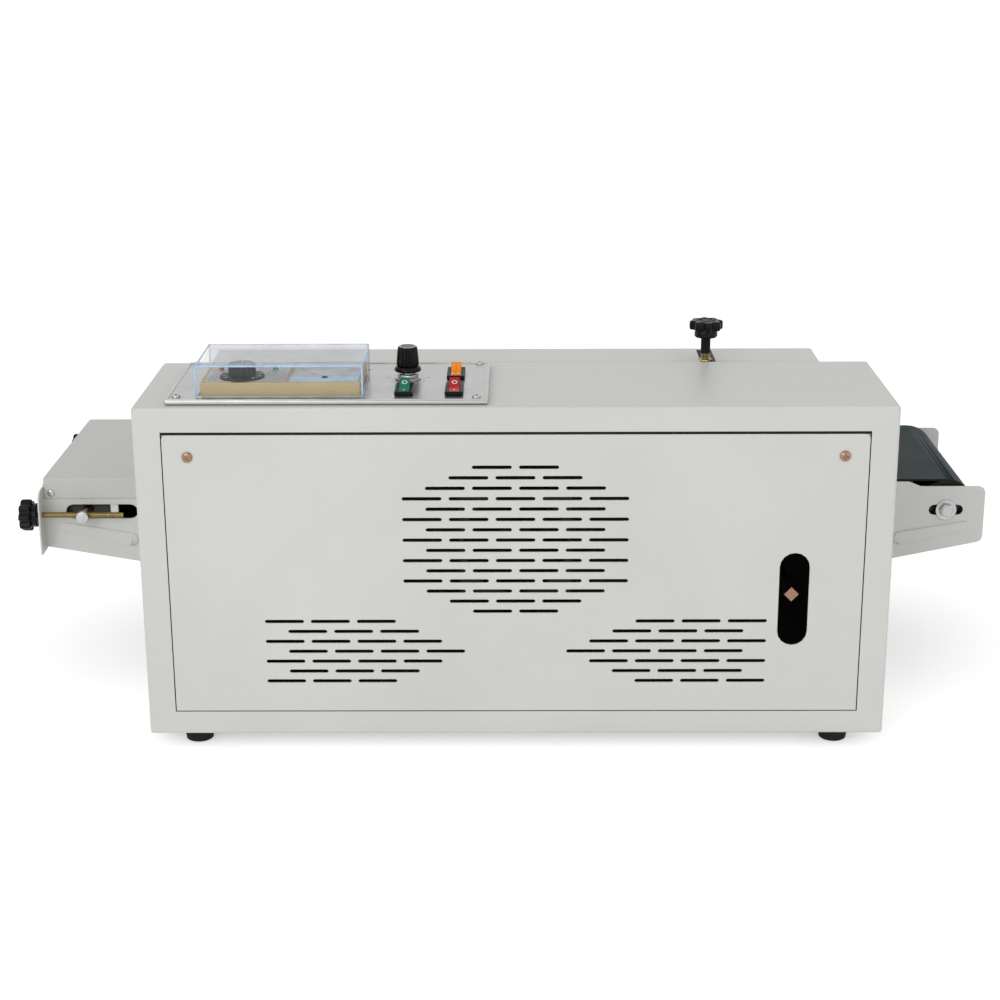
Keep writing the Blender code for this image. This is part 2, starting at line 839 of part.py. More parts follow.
def make_switch(name, x, y, colour):
    """A rocker switch in its bezel, at rest with the end toward the door pressed in."""
    low = panel_top + seat_gap
    top = low + switch_bezel
    half_width, half_length = switch_width / 2, switch_length / 2
    body = block(name + "_switch", (x - half_width, y - half_length, low),
                 (x + half_width, y + half_length, top), black_plastic, machine, switch_edge, 1)
    stem_width, stem_length = half_width - switch_body_inset, half_length - switch_body_inset
    join(body, block(name + "_switch_body", (x - stem_width, y - stem_length, low - switch_depth),
                     (x + stem_width, y + stem_length, top - switch_bezel / 2), None, machine))
    pocket_width = rocker_width / 2 + seat_gap
    pocket_length = rocker_half_length + pocket_margin
    cut(body, block(name + "_pocket", (x - pocket_width, y - pocket_length, top - pocket_depth),
                    (x + pocket_width, y + pocket_length, top + cut_overrun), None, machine))
    pivot = (x, y, low + pivot_rise)
    frame = axis_frame(name + "_rocker_axis", pivot, machine)
    shape = [(-rocker_half_length, rocker_horn), (-rocker_half_length, -rocker_base / 2), (0, -rocker_base),
             (rocker_half_length, -rocker_base / 2), (rocker_half_length, rocker_horn), (0, rocker_waist)]
    turn = Matrix.Rotation(rocker_tilt, 2)
    outline = [turn @ Vector(point) + Vector((y, pivot[2])) for point in shape]
    prism(name + "_rocker", [[tuple(point) for point in outline]], x - rocker_width / 2, x + rocker_width / 2,
          "X", colour, frame)


def make_head_cover():
    """The folded cover over the upper bands, slotted so that it slides past the pressure screw."""
    cover = block("head_cover", (-head_half_length, head_back, head_cover_bottom),
                  (head_half_length, head_front, body_height), grey_coat, machine, head_corner)
    cut(cover, block("head_cover_cavity",
                     (-head_half_length + head_sheet, head_back - cut_overrun, head_cover_bottom - cut_overrun),
                     (head_half_length - head_sheet, head_front - head_sheet, body_height - head_sheet),
                     None, machine))
    half = press_slot_width / 2
    cut(cover, block("press_slot",
                     (press_slot_x - half, head_back - cut_overrun, body_height - head_sheet - cut_overrun),
                     (press_slot_x + half, body_depth + press_slot_end, body_height + cut_overrun),
                     None, machine))
    guard = block("lower_guard", (-head_half_length, head_back, guard_bottom),
                  (head_half_length, body_depth + guard_reach, guard_top), grey_coat, machine, head_corner)
    cut(guard, block("lower_guard_cavity",
                     (-head_half_length + head_sheet, head_back - cut_overrun, guard_bottom + head_sheet),
                     (head_half_length - head_sheet, body_depth + guard_reach - head_sheet,
                      guard_top + cut_overrun), None, machine))


def wheel_profile(radius, tail):
    """A band wheel with its shaft, from the nut at the operator's end down to the shaft's tail."""
    outer, inner = band_end + wheel_overhang, band_start - wheel_overhang
    seat = body_depth + 2 * seat_gap
    return [(0, outer + wheel_nut), (shaft_radius, outer + wheel_nut),
            (shaft_radius * 1.5, outer + wheel_nut * 0.8), (shaft_radius * 1.5, outer),
            (radius, outer), (radius, inner), (wheel_hub_radius, inner),
            (wheel_hub_radius, seat), (shaft_radius, seat), (shaft_radius, tail), (0, tail)]


def make_band_wheels():
    short_tail = wall_inner - shaft_tail
    gear_tail = wall_inner - gear_wall_gap - gear_width - seat_gap
    drive_tail = gear_tail - seat_gap - gearbox_depth / 2
    for name, x, z, radius, tail in (
            ("upper_inlet_wheel", wheel_x, upper_axis_z, wheel_radius, short_tail),
            ("lower_inlet_wheel", wheel_x, lower_axis_z, wheel_radius, short_tail),
            ("upper_drive_wheel", -wheel_x, upper_axis_z, wheel_radius, gear_tail),
            ("lower_drive_wheel", -wheel_x, lower_axis_z, wheel_radius, drive_tail),
            ("upper_pressure_wheel", pressure_wheel_x, upper_press_z, pressure_wheel_radius, short_tail),
            ("lower_pressure_wheel", pressure_wheel_x, lower_press_z, pressure_wheel_radius, short_tail)):
        frame = axis_frame(name + "_axis", (x, 0, z), machine)
        turned(name, wheel_profile(radius, tail), (x, 0, z), (0, 1, 0), zinc_steel, frame, 24)


def make_seal_bands():
    for name, z in (("upper_seal_band", upper_axis_z), ("lower_seal_band", lower_axis_z)):
        wheels = [(wheel_x, z, wheel_radius, 1), (-wheel_x, z, wheel_radius, 1)]
        belt(name, wheels, band_thickness, band_start, band_end, brown_band, machine, 16)


def gear_outline(x, z, phase):
    """Straight-flanked spur teeth on a pitch circle of half the distance between the two drive shafts."""
    pitch_radius = (upper_axis_z - lower_axis_z) / 2
    module = 2 * pitch_radius / gear_teeth
    tip, root = pitch_radius + module * tooth_height_share, pitch_radius - module * 1.2
    step = tau / gear_teeth
    points = []
    for tooth in range(gear_teeth):
        centre = phase + tooth * step
        for radius, share in ((root, -tooth_root_share), (tip, -tooth_tip_share),
                              (tip, tooth_tip_share), (root, tooth_root_share)):
            angle = centre + share * step
            points.append((x + radius * cos(angle), z + radius * sin(angle)))
    return points


def make_drive_gears():
    """Spur gears on the two drive shafts, which turn the upper and the lower band together."""
    high = wall_inner - gear_wall_gap
    step = tau / gear_teeth
    for name, wheel, z, phase in (("upper_gear", "upper_drive_wheel", upper_axis_z, -pi / 2),
                                  ("lower_gear", "lower_drive_wheel", lower_axis_z, pi / 2 + step / 2)):
        gear = prism(name, [gear_outline(-wheel_x, z, phase)], high - gear_width, high, "Y", None,
                     bpy.data.objects[wheel + "_axis"])
        join(bpy.data.objects[wheel], gear)


def make_gear_motor():
    """A worm gearbox on posts behind the wall, with its motor lying along the cabinet."""
    front = wall_inner - gear_wall_gap - gear_width - 2 * seat_gap
    back = front - gearbox_depth
    left, right = -wheel_x - gearbox_half_width, -wheel_x + gearbox_half_width
    low, high = lower_axis_z - gearbox_below, lower_axis_z + gearbox_above
    box = block("gearbox", (left, back, low), (right, front, high), cast_iron, machine, gearbox_edge, 1)
    inset = gearbox_post_inset
    for name, x, z in (("post_a", left + inset, low + inset), ("post_b", right - inset, low + inset),
                       ("post_c", left + inset, high - inset), ("post_d", right - inset, high - inset)):
        join(box, rod(name, gearbox_post_radius, (x, front - gearbox_depth / 4, z),
                      (x, wall_inner - seat_gap, z), None, machine, 12))
    cut(box, rod("gearbox_bore", shaft_radius + seat_gap, (-wheel_x, back - cut_overrun, lower_axis_z),
                 (-wheel_x, front + cut_overrun, lower_axis_z), None, machine))
    y, z = (front + back) / 2, lower_axis_z - motor_drop
    start = right + seat_gap
    profile = [(0, motor_length), (motor_radius - motor_edge, motor_length),
               (motor_radius, motor_length - motor_edge), (motor_radius, motor_edge),
               (motor_radius - motor_edge, 0), (0, 0)]
    turned("drive_motor", profile, (start, y, z), (1, 0, 0), dark_paint, machine)


def make_fan():
    near = door_sheet + seat_gap
    far = near + fan_depth
    half = fan_size / 2
    square = filleted(rectangle(-half, half, fan_z - half, fan_z + half), (fan_corner,) * 4)
    housing = prism("fan_housing", [square, circle(0, fan_z, fan_bore, 32)], near, far, "Y", black_plastic,
                    machine)
    arm = fan_arm_width / 2
    reach = fan_bore + fan_corner / 2
    join(housing, block("fan_arm_across", (-reach, far - fan_plate, fan_z - arm), (reach, far, fan_z + arm),
                        None, machine))
    join(housing, block("fan_arm_up", (-arm, far - fan_plate, fan_z - reach), (arm, far, fan_z + reach),
                        None, machine))
    join(housing, rod("fan_mount", fan_hub_radius, (0, far - fan_plate, fan_z), (0, far, fan_z), None, machine))
    frame = axis_frame("fan_axis", (0, near, fan_z), machine)
    hub_low, hub_high = near + fan_plate, far - fan_plate - seat_gap
    impeller = rod("fan_impeller", fan_hub_radius, (0, hub_low, fan_z), (0, hub_high, fan_z), black_plastic,
                   frame)
    span = fan_bore - fan_tip_gap
    chord = (hub_high - hub_low) - fan_plate
    for i in range(fan_blades):
        blade = block(f"fan_blade_{i}", (0, -chord / 2, -fan_blade_thickness / 2),
                      (span, chord / 2, fan_blade_thickness / 2), None, frame)
        blade.data.transform(Matrix.Translation((span / 2, 0, 0)))
        middle = Vector((0, (hub_low + hub_high) / 2, fan_z))
        blade.location = middle - machine_place(frame)
        spin = Matrix.Rotation(tau * i / fan_blades, 3, "Y") @ Matrix.Rotation(fan_blade_pitch - pi / 2, 3, "X")
        blade.rotation_euler = spin.to_euler()
        join(impeller, blade)


def make_electrics():
    floor = sheet + seat_gap + base_sheet + seat_gap
    deck = floor + board_stand
    board = block("speed_board", (board_left, board_front, deck),
                  (board_left + board_length, board_front + board_width, deck + board_sheet), board_green,
                  machine)
    inset = board_post_inset
    for i, (x, y) in enumerate(((board_left + inset, board_front + inset),
                                (board_left + board_length - inset, board_front + inset),
                                (board_left + inset, board_front + board_width - inset),
                                (board_left + board_length - inset, board_front + board_width - inset))):
        join(board, rod(f"board_post_{i}", board_post_radius, (x, y, floor), (x, y, deck + board_sheet / 2),
                        None, machine, 10))
    for i, (size, share) in enumerate(zip(board_part_sizes, board_part_shares)):
        x, y = board_left + share[0] * board_length, board_front + share[1] * board_width
        join(board, block(f"board_part_{i}", (x - size[0] / 2, y - size[1] / 2, deck + board_sheet / 2),
                          (x + size[0] / 2, y + size[1] / 2, deck + board_sheet + size[2]), None, machine))
    side = body_width / 2 + seat_gap
    profile = [(gland_radius * 0.7, gland_reach), (gland_radius, gland_reach * 0.6), (gland_radius, 0),
               (gland_thread_radius, 0), (gland_thread_radius, -gland_tail), (gland_bore, -gland_tail),
               (gland_bore, gland_reach)]
    turned("cable_gland", profile, (side, gland_y, gland_z), (1, 0, 0), black_plastic, machine)


def make_heating_blocks():
    half = heater_length / 2
    low, high = seal_z + block_clear, seal_z + block_clear + heater_height
    frame = axis_frame("press_slide_axis", (heater_x, body_depth + press_y, high), machine)
    block("upper_heating_block", (heater_x - half, head_back, low), (heater_x + half, band_end, high),
          brass, frame, heater_edge)
    block("lower_heating_block", (heater_x - half, head_back, seal_z - block_clear - heater_height),
          (heater_x + half, band_end, seal_z - block_clear), brass, machine, heater_edge)


def comb(length, base, height, fins):
    """The outline of a finned block, with its base along the u axis and its fins upward."""
    gaps = fins - 1
    fin = length * fin_share / fins
    gap = (length - fin * fins) / gaps
    points = [(-length / 2, 0), (length / 2, 0)]
    for i in range(fins):
        right = length / 2 - i * (fin + gap)
        points += [(right, height), (right - fin, height)]
        if i < gaps:
            points += [(right - fin, base), (right - fin - gap, base)]
    return points


def make_cooling_blocks():
    shape = comb(cooler_length, cooler_base, cooler_height, cooler_fins)
    for name, side in (("upper_cooling_block", 1), ("lower_cooling_block", -1)):
        outline = [(cooler_x + u, seal_z + side * (block_clear + v)) for u, v in shape]
        prism(name, [outline], head_back, band_end, "Y", satin_aluminium, machine)


def star_rings(hub_radius, hub_length, star_reach, depth, length):
    bevel_share = 0.16
    soft = length * bevel_share
    return [(hub_radius * 0.9, 0, 0), (hub_radius, 0, hub_length * 0.25), (hub_radius, 0, hub_length),
            (star_reach - soft, depth, hub_length), (star_reach, depth, hub_length + soft),
            (star_reach, depth, hub_length + length - soft),
            (star_reach - 2 * soft, depth, hub_length + length)]


def make_pressure_screw():
    """The star knob and its threaded rod, which presses on the upper heating block."""
    x, y = heater_x, body_depth + press_y
    block_top = seal_z + block_clear + heater_height
    stem_low = body_height + stem_rise
    frame = axis_frame("pressure_screw_axis", (x, y, block_top), machine)
    rings = star_rings(star_hub_radius, star_hub_height, star_radius, star_depth, star_height)
    knob = lobed("pressure_screw", rings, star_lobes, (x, y, stem_low + stem_height), (0, 0, 1), black_plastic,
                 frame, 4)
    join(knob, rod("pressure_stem", stem_radius, (x, y, stem_low),
                   (x, y, stem_low + stem_height + star_hub_height / 2), None, frame))
    join(knob, rod("pressure_rod", press_rod_radius, (x, y, block_top + press_travel),
                   (x, y, stem_low + stem_height / 2), None, frame, 16))
    low = block_top + press_nut_clear
    half = press_nut_width / 2
    wall = bpy.data.objects["operator_wall"]
    join(wall, block("pressure_nut", (x - half, body_depth - wall_sheet / 2, low),
                     (x + half, y + press_rod_radius + sheet, low + press_nut_height), None, machine))
    cut(wall, rod("pressure_nut_bore", press_rod_radius + seat_gap, (x, y, low - cut_overrun),
                  (x, y, low + press_nut_height + cut_overrun), None, machine, 16))


def rail_outline():
    left = conveyor_left + sheet / 2
    corners = [(left, rail_left_bottom), (-rail_belly_reach, rail_belly), (rail_belly_reach, rail_belly),
               (conveyor_right, rail_right_bottom), (conveyor_right, rail_step_top),
               (rail_step_end, rail_step_top), (rail_step_start, rail_top), (left, rail_top)]
    radii = (0, 0, 0, rail_corner, rail_corner, 0, 0, 0)
    return filleted(corners, radii)


def bead_outline(side):
    """A stiffening bead that widens toward the middle of the rail."""
    ends = [(side * bead_outer_x, bead_outer_z, bead_outer_radius, 1),
            (side * bead_inner_x, bead_inner_z, bead_inner_radius, 1)]
    return loop_path(ends, 0, False, 8)


def make_side_rail(name, face, outward):
    """One side plate. Face is its outer face and outward the way that face looks, -1 for the cabinet side."""
    inner = face - outward * sheet
    holes = [stadium((take_up_slot_left + take_up_slot_right) / 2, roller_z,
                     take_up_slot_right - take_up_slot_left, take_up_slot_height, 0, 6),
             stadium(idler_x, roller_z, idler_slot_length, idler_slot_height, 0, 6)]
    holes.append(circle(0, drum_z, axle_radius + seat_gap))
    for x in (-snub_x, snub_x):
        holes.append(circle(x, snub_z, snub_journal_radius + seat_gap, 14))
    if outward < 0:
        holes += [circle(x, clamp_z, clamp_bolt_radius + seat_gap, 14) for x in (-clamp_x, clamp_x)]
    rail = prism(name, [rail_outline()] + holes, min(face, inner), max(face, inner), "Y", grey_coat, conveyor)
    raised = face + outward * bead_rise
    middle = (face + inner) / 2
    for side in (-1, 1):
        join(rail, prism(f"{name}_bead_{side + 1}", [bead_outline(side)], min(middle, raised),
                         max(middle, raised), "Y", None, conveyor))
    free = face + outward * tab_reach
    corners = [(middle, tab_bottom), (free, tab_bottom), (free, tab_top), (middle, tab_top)]
    tab = prism(name + "_tab", [filleted(corners, (0, 0, tab_corner, 0))], conveyor_left, conveyor_left + sheet,
                "X", None, conveyor)
    join(rail, tab)
    y = face + outward * tension_offset
    cut(rail, rod(name + "_tab_hole", tension_rod_radius + seat_gap, (conveyor_left - cut_overrun, y, roller_z),
                  (conveyor_left + sheet + cut_overrun, y, roller_z), None, conveyor, 14))


def make_slider_bed():
    """The folded plate under the belt's upper run, hung between the rails."""
    top = roller_z + roller_radius
    near, far = near_rail + sheet + seat_gap, far_rail - sheet - seat_gap
    low = top - bed_flange
    outline = [(near, low), (near + bed_sheet, low), (near + bed_sheet, top - bed_sheet),
               (far - bed_sheet, top - bed_sheet), (far - bed_sheet, low), (far, low), (far, top), (near, top)]
    prism("slider_bed", [outline], bed_left, bed_right, "X", zinc_steel, conveyor)


def make_outlet_cover():
    near, far = near_rail - seat_gap - head_sheet, far_rail + seat_gap + head_sheet
    left = conveyor_left + sheet + seat_gap
    cover = block("outlet_cover", (left, near, outlet_skirt), (outlet_right, far, outlet_top), grey_coat,
                  conveyor, outlet_corner)
    cut(cover, block("outlet_cavity", (left - cut_overrun, near + head_sheet, outlet_skirt - cut_overrun),
                     (outlet_right + cut_overrun, far - head_sheet, outlet_top - head_sheet), None, conveyor))


def roller_wheels():
    return [(idler_x, roller_z, roller_radius, 1), (take_up_x, roller_z, roller_radius, 1),
            (-snub_x, snub_z, snub_radius, -1), (0, drum_z, drum_radius, 1), (snub_x, snub_z, snub_radius, -1)]


def hollow_roller(radius, bore, low, high):
    inner = radius - roller_wall
    return [(radius, high), (radius, low), (bore, low), (bore, low + roller_cap), (inner, low + roller_cap),
            (inner, high - roller_cap), (bore, high - roller_cap), (bore, high)]


def make_conveyor_belt():
    low, high = near_rail + belt_edge_gap + sheet, far_rail - belt_edge_gap - sheet
    belt("conveyor_belt", roller_wheels(), belt_thickness, low, high, dark_belt, conveyor, 20)


def make_rollers():
    low, high = near_rail + roller_end_gap, far_rail - roller_end_gap
    bore = axle_radius + axle_gap
    near, far = near_rail - seat_gap, far_rail + seat_gap
    idler_frame = axis_frame("inlet_roller_axis", (idler_x, 0, roller_z), conveyor)
    turned("inlet_roller", hollow_roller(roller_radius, bore, low, high), (idler_x, 0, roller_z), (0, 1, 0),
           zinc_steel, idler_frame, 24)
    head, washer = axle_washer + axle_head, axle_washer
    profile = [(0, far + head), (axle_head_radius, far + head), (axle_head_radius, far + washer),
               (axle_washer_radius, far + washer), (axle_washer_radius, far), (axle_radius, far),
               (axle_radius, near), (axle_washer_radius, near), (axle_washer_radius, near - washer),
               (axle_head_radius, near - washer), (axle_head_radius, near - head), (0, near - head)]
    turned("inlet_axle", profile, (idler_x, 0, roller_z), (0, 1, 0), zinc_steel, conveyor, 20)
    drum_frame = axis_frame("drive_drum_axis", (0, 0, drum_z), conveyor)
    rail_in, rail_out = near_rail - conveyor_gap / 2, far_rail + seat_gap
    drum = [(0, rail_out), (axle_radius, rail_out), (axle_radius, high), (drum_radius, high), (drum_radius, low),
            (axle_radius, low), (axle_radius, rail_in), (0, rail_in)]
    turned("drive_drum", drum, (0, 0, drum_z), (0, 1, 0), dark_paint, drum_frame, 32)
    for name, x in (("snub_roller_left", -snub_x), ("snub_roller_right", snub_x)):
        frame = axis_frame(name + "_axis", (x, 0, snub_z), conveyor)
        shape = [(0, rail_out), (snub_journal_radius, rail_out), (snub_journal_radius, high),
                 (snub_radius, high), (snub_radius, low), (snub_journal_radius, low),
                 (snub_journal_radius, near_rail), (0, near_rail)]
        turned(name, shape, (x, 0, snub_z), (0, 1, 0), zinc_steel, frame, 20)


def make_take_up():
    """The tension roller, its sliding axle and the two screws that draw the axle along the slots."""
    slide = axis_frame("take_up_axis", (take_up_x, 0, roller_z), conveyor)
    low, high = near_rail + roller_end_gap, far_rail - roller_end_gap
    near_end = near_rail - tension_offset - take_up_neck - take_up_cap
    far_end = far_rail + tension_offset + take_up_neck + take_up_cap
    profile = [(0, far_end), (take_up_cap_radius, far_end), (take_up_cap_radius, far_end - take_up_cap),
               (axle_radius, far_end - take_up_cap), (axle_radius, near_end + take_up_cap),
               (take_up_cap_radius, near_end + take_up_cap), (take_up_cap_radius, near_end), (0, near_end)]
    axle = turned("tension_axle", profile, (take_up_x, 0, roller_z), (0, 1, 0), copper, slide, 20)
    spin = axis_frame("tension_roller_axis", (take_up_x, 0, roller_z), slide)
    turned("tension_roller", hollow_roller(roller_radius, axle_radius + axle_gap, low, high),
           (take_up_x, 0, roller_z), (0, 1, 0), zinc_steel, spin, 24)
    for name, y in (("near", near_rail - tension_offset), ("far", far_rail + tension_offset)):
        cut(axle, rod(name + "_cross_hole", tension_rod_radius + seat_gap,
                      (take_up_x - axle_radius - cut_overrun, y, roller_z),
                      (take_up_x + axle_radius + cut_overrun, y, roller_z), None, slide, 14))
        frame = axis_frame(name + "_tension_axis", (conveyor_left, y, roller_z), conveyor)
        start = conveyor_left - tension_stand
        grip = tension_hub_length + tension_star_length
        knob = lobed(name + "_tension_screw",
                     star_rings(tension_hub_radius, tension_hub_length, tension_star_radius, tension_star_depth,
                                tension_star_length),
                     star_lobes, (start, y, roller_z), (-1, 0, 0), black_plastic, frame, 4)
        join(knob, rod(name + "_tension_rod", tension_rod_radius, (start - grip / 2, y, roller_z),
                       (tension_rod_end, y, roller_z), None, frame, 14))


def make_height_clamps():
    """Brackets on the cabinet-side rail and the bolts that clamp them to the wall's upright slots."""
    face = body_depth + seat_gap
    nut_seat = near_rail + sheet + seat_gap
    half = bracket_width / 2
    for side, x, start in (("left", -clamp_x, clamp_short_start), ("right", clamp_x, clamp_long_start)):
        outline = filleted(rectangle(x - half, x + half, bracket_bottom, bracket_top), (bracket_corner,) * 4, 3)
        bracket = prism("clamp_bracket_" + side, [outline], face, face + bracket_sheet, "Y", None, conveyor)
        head = start + clamp_head
        bolt = rod("clamp_bolt_" + side, clamp_bolt_radius, (x, head - clamp_head / 2, clamp_z),
                   (x, nut_seat + clamp_nut, clamp_z), copper, conveyor, 14)
        join(bolt, bracket)
        join(bolt, rod("clamp_head_" + side, clamp_head_radius, (x, start, clamp_z), (x, head, clamp_z), None,
                       conveyor, 4))
        join(bolt, rod("clamp_nut_" + side, clamp_nut_radius, (x, nut_seat, clamp_z),
                       (x, nut_seat + clamp_nut, clamp_z), None, conveyor, 6))


def stand_on_origin():
    """Moves the machine so that the origin is the middle of its footprint, at the feet."""
    bpy.context.view_layer.update()
    shapes = bpy.context.evaluated_depsgraph_get()
    low, high = Vector((body_width, body_width, body_width)), -Vector((body_width, body_width, body_width))
    for ob in parts.objects:
        if ob.type != "MESH":
            continue
        seen = ob.evaluated_get(shapes)
        for vertex in seen.to_mesh().vertices:
            point = seen.matrix_world @ vertex.co
            low = Vector(map(min, low, point))
            high = Vector(map(max, high, point))
        seen.to_mesh_clear()
    machine.location = (-(low.x + high.x) / 2, -(low.y + high.y) / 2, -low.z)


clear_scene()
parts = collection("band_sealer")
guides = collection("cutters")
grey_coat = paint("grey_coat", (0.62, 0.62, 0.58), 0.45, 0.0)
black_rubber = paint("black_rubber", (0.015, 0.015, 0.016), 0.8, 0.0)
black_plastic = paint("black_plastic", (0.012, 0.012, 0.013), 0.35, 0.0)
satin_aluminium = paint("satin_aluminium", (0.62, 0.62, 0.61), 0.35, 1.0)
champagne = paint("champagne", (0.42, 0.34, 0.21), 0.4, 0.3)
clear_acrylic = paint("clear_acrylic", (0.75, 0.85, 0.95), 0.05, 0.0, 0.3)
zinc_steel = paint("zinc_steel", (0.55, 0.55, 0.54), 0.3, 1.0)
copper = paint("copper", (0.55, 0.28, 0.17), 0.35, 1.0)
brass = paint("brass", (0.60, 0.43, 0.18), 0.35, 1.0)
cast_iron = paint("cast_iron", (0.12, 0.12, 0.12), 0.6, 0.6)
dark_paint = paint("dark_paint", (0.05, 0.05, 0.055), 0.5, 0.2)
brown_band = paint("brown_band", (0.33, 0.20, 0.10), 0.5, 0.0)
dark_belt = paint("dark_belt", (0.022, 0.036, 0.038), 0.55, 0.0)
green_rocker = paint("green_rocker", (0.0, 0.18, 0.09), 0.3, 0.0)
red_rocker = paint("red_rocker", (0.42, 0.01, 0.015), 0.3, 0.0)
amber_rocker = paint("amber_rocker", (0.85, 0.28, 0.0), 0.2, 0.0)
board_green = paint("board_green", (0.02, 0.12, 0.05), 0.5, 0.0)

machine = bpy.data.objects.new("band_sealer", None)
parts.objects.link(machine)
conveyor = axis_frame("conveyor_height_axis", (0, near_rail, clamp_z), machine)
make_cabinet_shell()
make_service_door()
make_feet()
make_operator_wall()
make_control_panel()
make_controller()
make_dust_cover()
make_speed_control()
make_switch("fan", fan_switch_x, switch_y, green_rocker)
make_switch("heat", heat_switch_x, switch_y, red_rocker)
make_switch("drive", heat_switch_x, drive_switch_y, amber_rocker)
make_head_cover()
make_band_wheels()
make_seal_bands()
make_drive_gears()
make_gear_motor()
make_fan()
make_electrics()
make_heating_blocks()
make_cooling_blocks()
make_pressure_screw()
make_side_rail("cabinet_side_rail", near_rail, -1)
make_side_rail("operator_side_rail", far_rail, 1)
make_slider_bed()
make_outlet_cover()
make_conveyor_belt()
make_rollers()
make_take_up()
make_height_clamps()
stand_on_origin()
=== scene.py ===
"""Looks of the continuous band sealer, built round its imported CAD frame. All lengths are metres."""
from math import cos, pi, radians, sin, tau

import bpy
from mathutils import Matrix, Quaternion, Vector


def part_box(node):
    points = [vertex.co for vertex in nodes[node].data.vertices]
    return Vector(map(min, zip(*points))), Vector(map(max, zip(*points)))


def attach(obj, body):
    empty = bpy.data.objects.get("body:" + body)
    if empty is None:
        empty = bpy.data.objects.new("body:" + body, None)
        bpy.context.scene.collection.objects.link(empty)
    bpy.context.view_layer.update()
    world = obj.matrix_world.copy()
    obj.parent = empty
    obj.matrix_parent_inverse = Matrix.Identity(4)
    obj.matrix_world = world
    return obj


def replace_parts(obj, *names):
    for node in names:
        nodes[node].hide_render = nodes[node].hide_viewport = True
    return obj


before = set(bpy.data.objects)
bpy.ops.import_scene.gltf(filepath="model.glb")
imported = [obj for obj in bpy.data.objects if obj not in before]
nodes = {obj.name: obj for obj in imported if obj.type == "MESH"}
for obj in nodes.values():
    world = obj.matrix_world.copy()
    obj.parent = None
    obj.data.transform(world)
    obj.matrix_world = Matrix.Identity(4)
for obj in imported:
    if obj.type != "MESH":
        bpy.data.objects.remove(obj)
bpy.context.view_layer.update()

# The machine is measured from the middle of its door's lower edge, which lies here in the frame
home = Vector((0.01145, -0.1925, 0.012))
panel_top = 0.2903
controller_top = 0.3025
wall_face = 0.1573
speed_x, speed_y = -0.0902, 0.0790
dial_x, dial_y = -0.2235, 0.0352
pressure_x, pressure_y = 0.168, 0.164
outlet_axis, inlet_axis, roller_height = -0.388, 0.3885, 0.1472

# The ways in which pieces face
upward = (0, 0, 1)
to_door, to_operator = (0, -1, 0), (0, 1, 0)
to_inlet, to_outlet = (1, 0, 0), (-1, 0, 0)

# The camera and the light of the photograph
camera_stand = (-0.00206, -1.50351, 0.68100)
camera_turn = (-17.475, 0.2327, 0.4032)
camera_lens = 69.59
sky_light = 0.69
floor_glow = 0.42
lamps = (("key", (-1.2, -2.5, 1.3), 1.5, 22), ("fill", (1.8, -2.0, 0.9), 1.6, 6))


def place(x, y, z):
    return home + Vector((x, y, z))


# Node helpers for materials
def new_group(name, inputs, outputs):
    """A node group. Its sockets are given as (label, kind), or (label, kind, value) where they start with a value."""
    tree = bpy.data.node_groups.new(name, "ShaderNodeTree")
    for label, kind, *value in inputs:
        socket = tree.interface.new_socket(label, in_out="INPUT", socket_type="NodeSocket" + kind)
        if value:
            socket.default_value = value[0]
    for label, kind in outputs:
        tree.interface.new_socket(label, in_out="OUTPUT", socket_type="NodeSocket" + kind)
    return tree, tree.nodes.new("NodeGroupInput"), tree.nodes.new("NodeGroupOutput")


def put(tree, socket, value):
    """Gives a socket a value, or links it where the value comes out of another node."""
    if isinstance(value, bpy.types.NodeSocket):
        tree.links.new(value, socket)
    else:
        socket.default_value = value


def fill(tree, made, *values):
    """Fills the first sockets of a node in their order."""
    for socket, value in zip(made.inputs, values):
        put(tree, socket, value)
    return made


def node(tree, kind, *firsts, **values):
    """A node with its first sockets filled in their order, and its settings and other sockets by name."""
    made = tree.nodes.new(kind)
    for key, value in values.items():
        if key in made.inputs:
            put(tree, made.inputs[key], value)
        else:
            setattr(made, key, value)
    return fill(tree, made, *firsts)


def noise(tree, vector, scale, detail=3.0, roughness=0.55):
    made = node(tree, "ShaderNodeTexNoise", vector, Scale=scale, Detail=detail, Roughness=roughness)
    return made.outputs["Fac"]


def span(tree, value, low, high, to_low, to_high):
    """Stretches a value from one range to another."""
    return node(tree, "ShaderNodeMapRange", value, low, high, to_low, to_high).outputs[0]


def maths(tree, operation, a, b=0):
    return node(tree, "ShaderNodeMath", a, b, operation=operation).outputs[0]


def tint(tree, share, a, b):
    """One colour going over into another."""
    made = node(tree, "ShaderNodeMix", share, data_type="RGBA")
    for socket, colour in ((made.inputs[6], a), (made.inputs[7], b)):
        put(tree, socket, (*colour, 1) if isinstance(colour, tuple) else colour)
    return made.outputs[2]


def shaded(tree, strength, colour):
    """A colour made lighter or darker by a strength that changes over the surface."""
    return node(tree, "ShaderNodeHueSaturation", Value=strength, Color=colour).outputs[0]


def along(tree, vector, axis):
    return node(tree, "ShaderNodeSeparateXYZ", vector).outputs[axis]


finish_outputs = [("Colour", "Color"), ("Rough", "Float"), ("Height", "Float")]


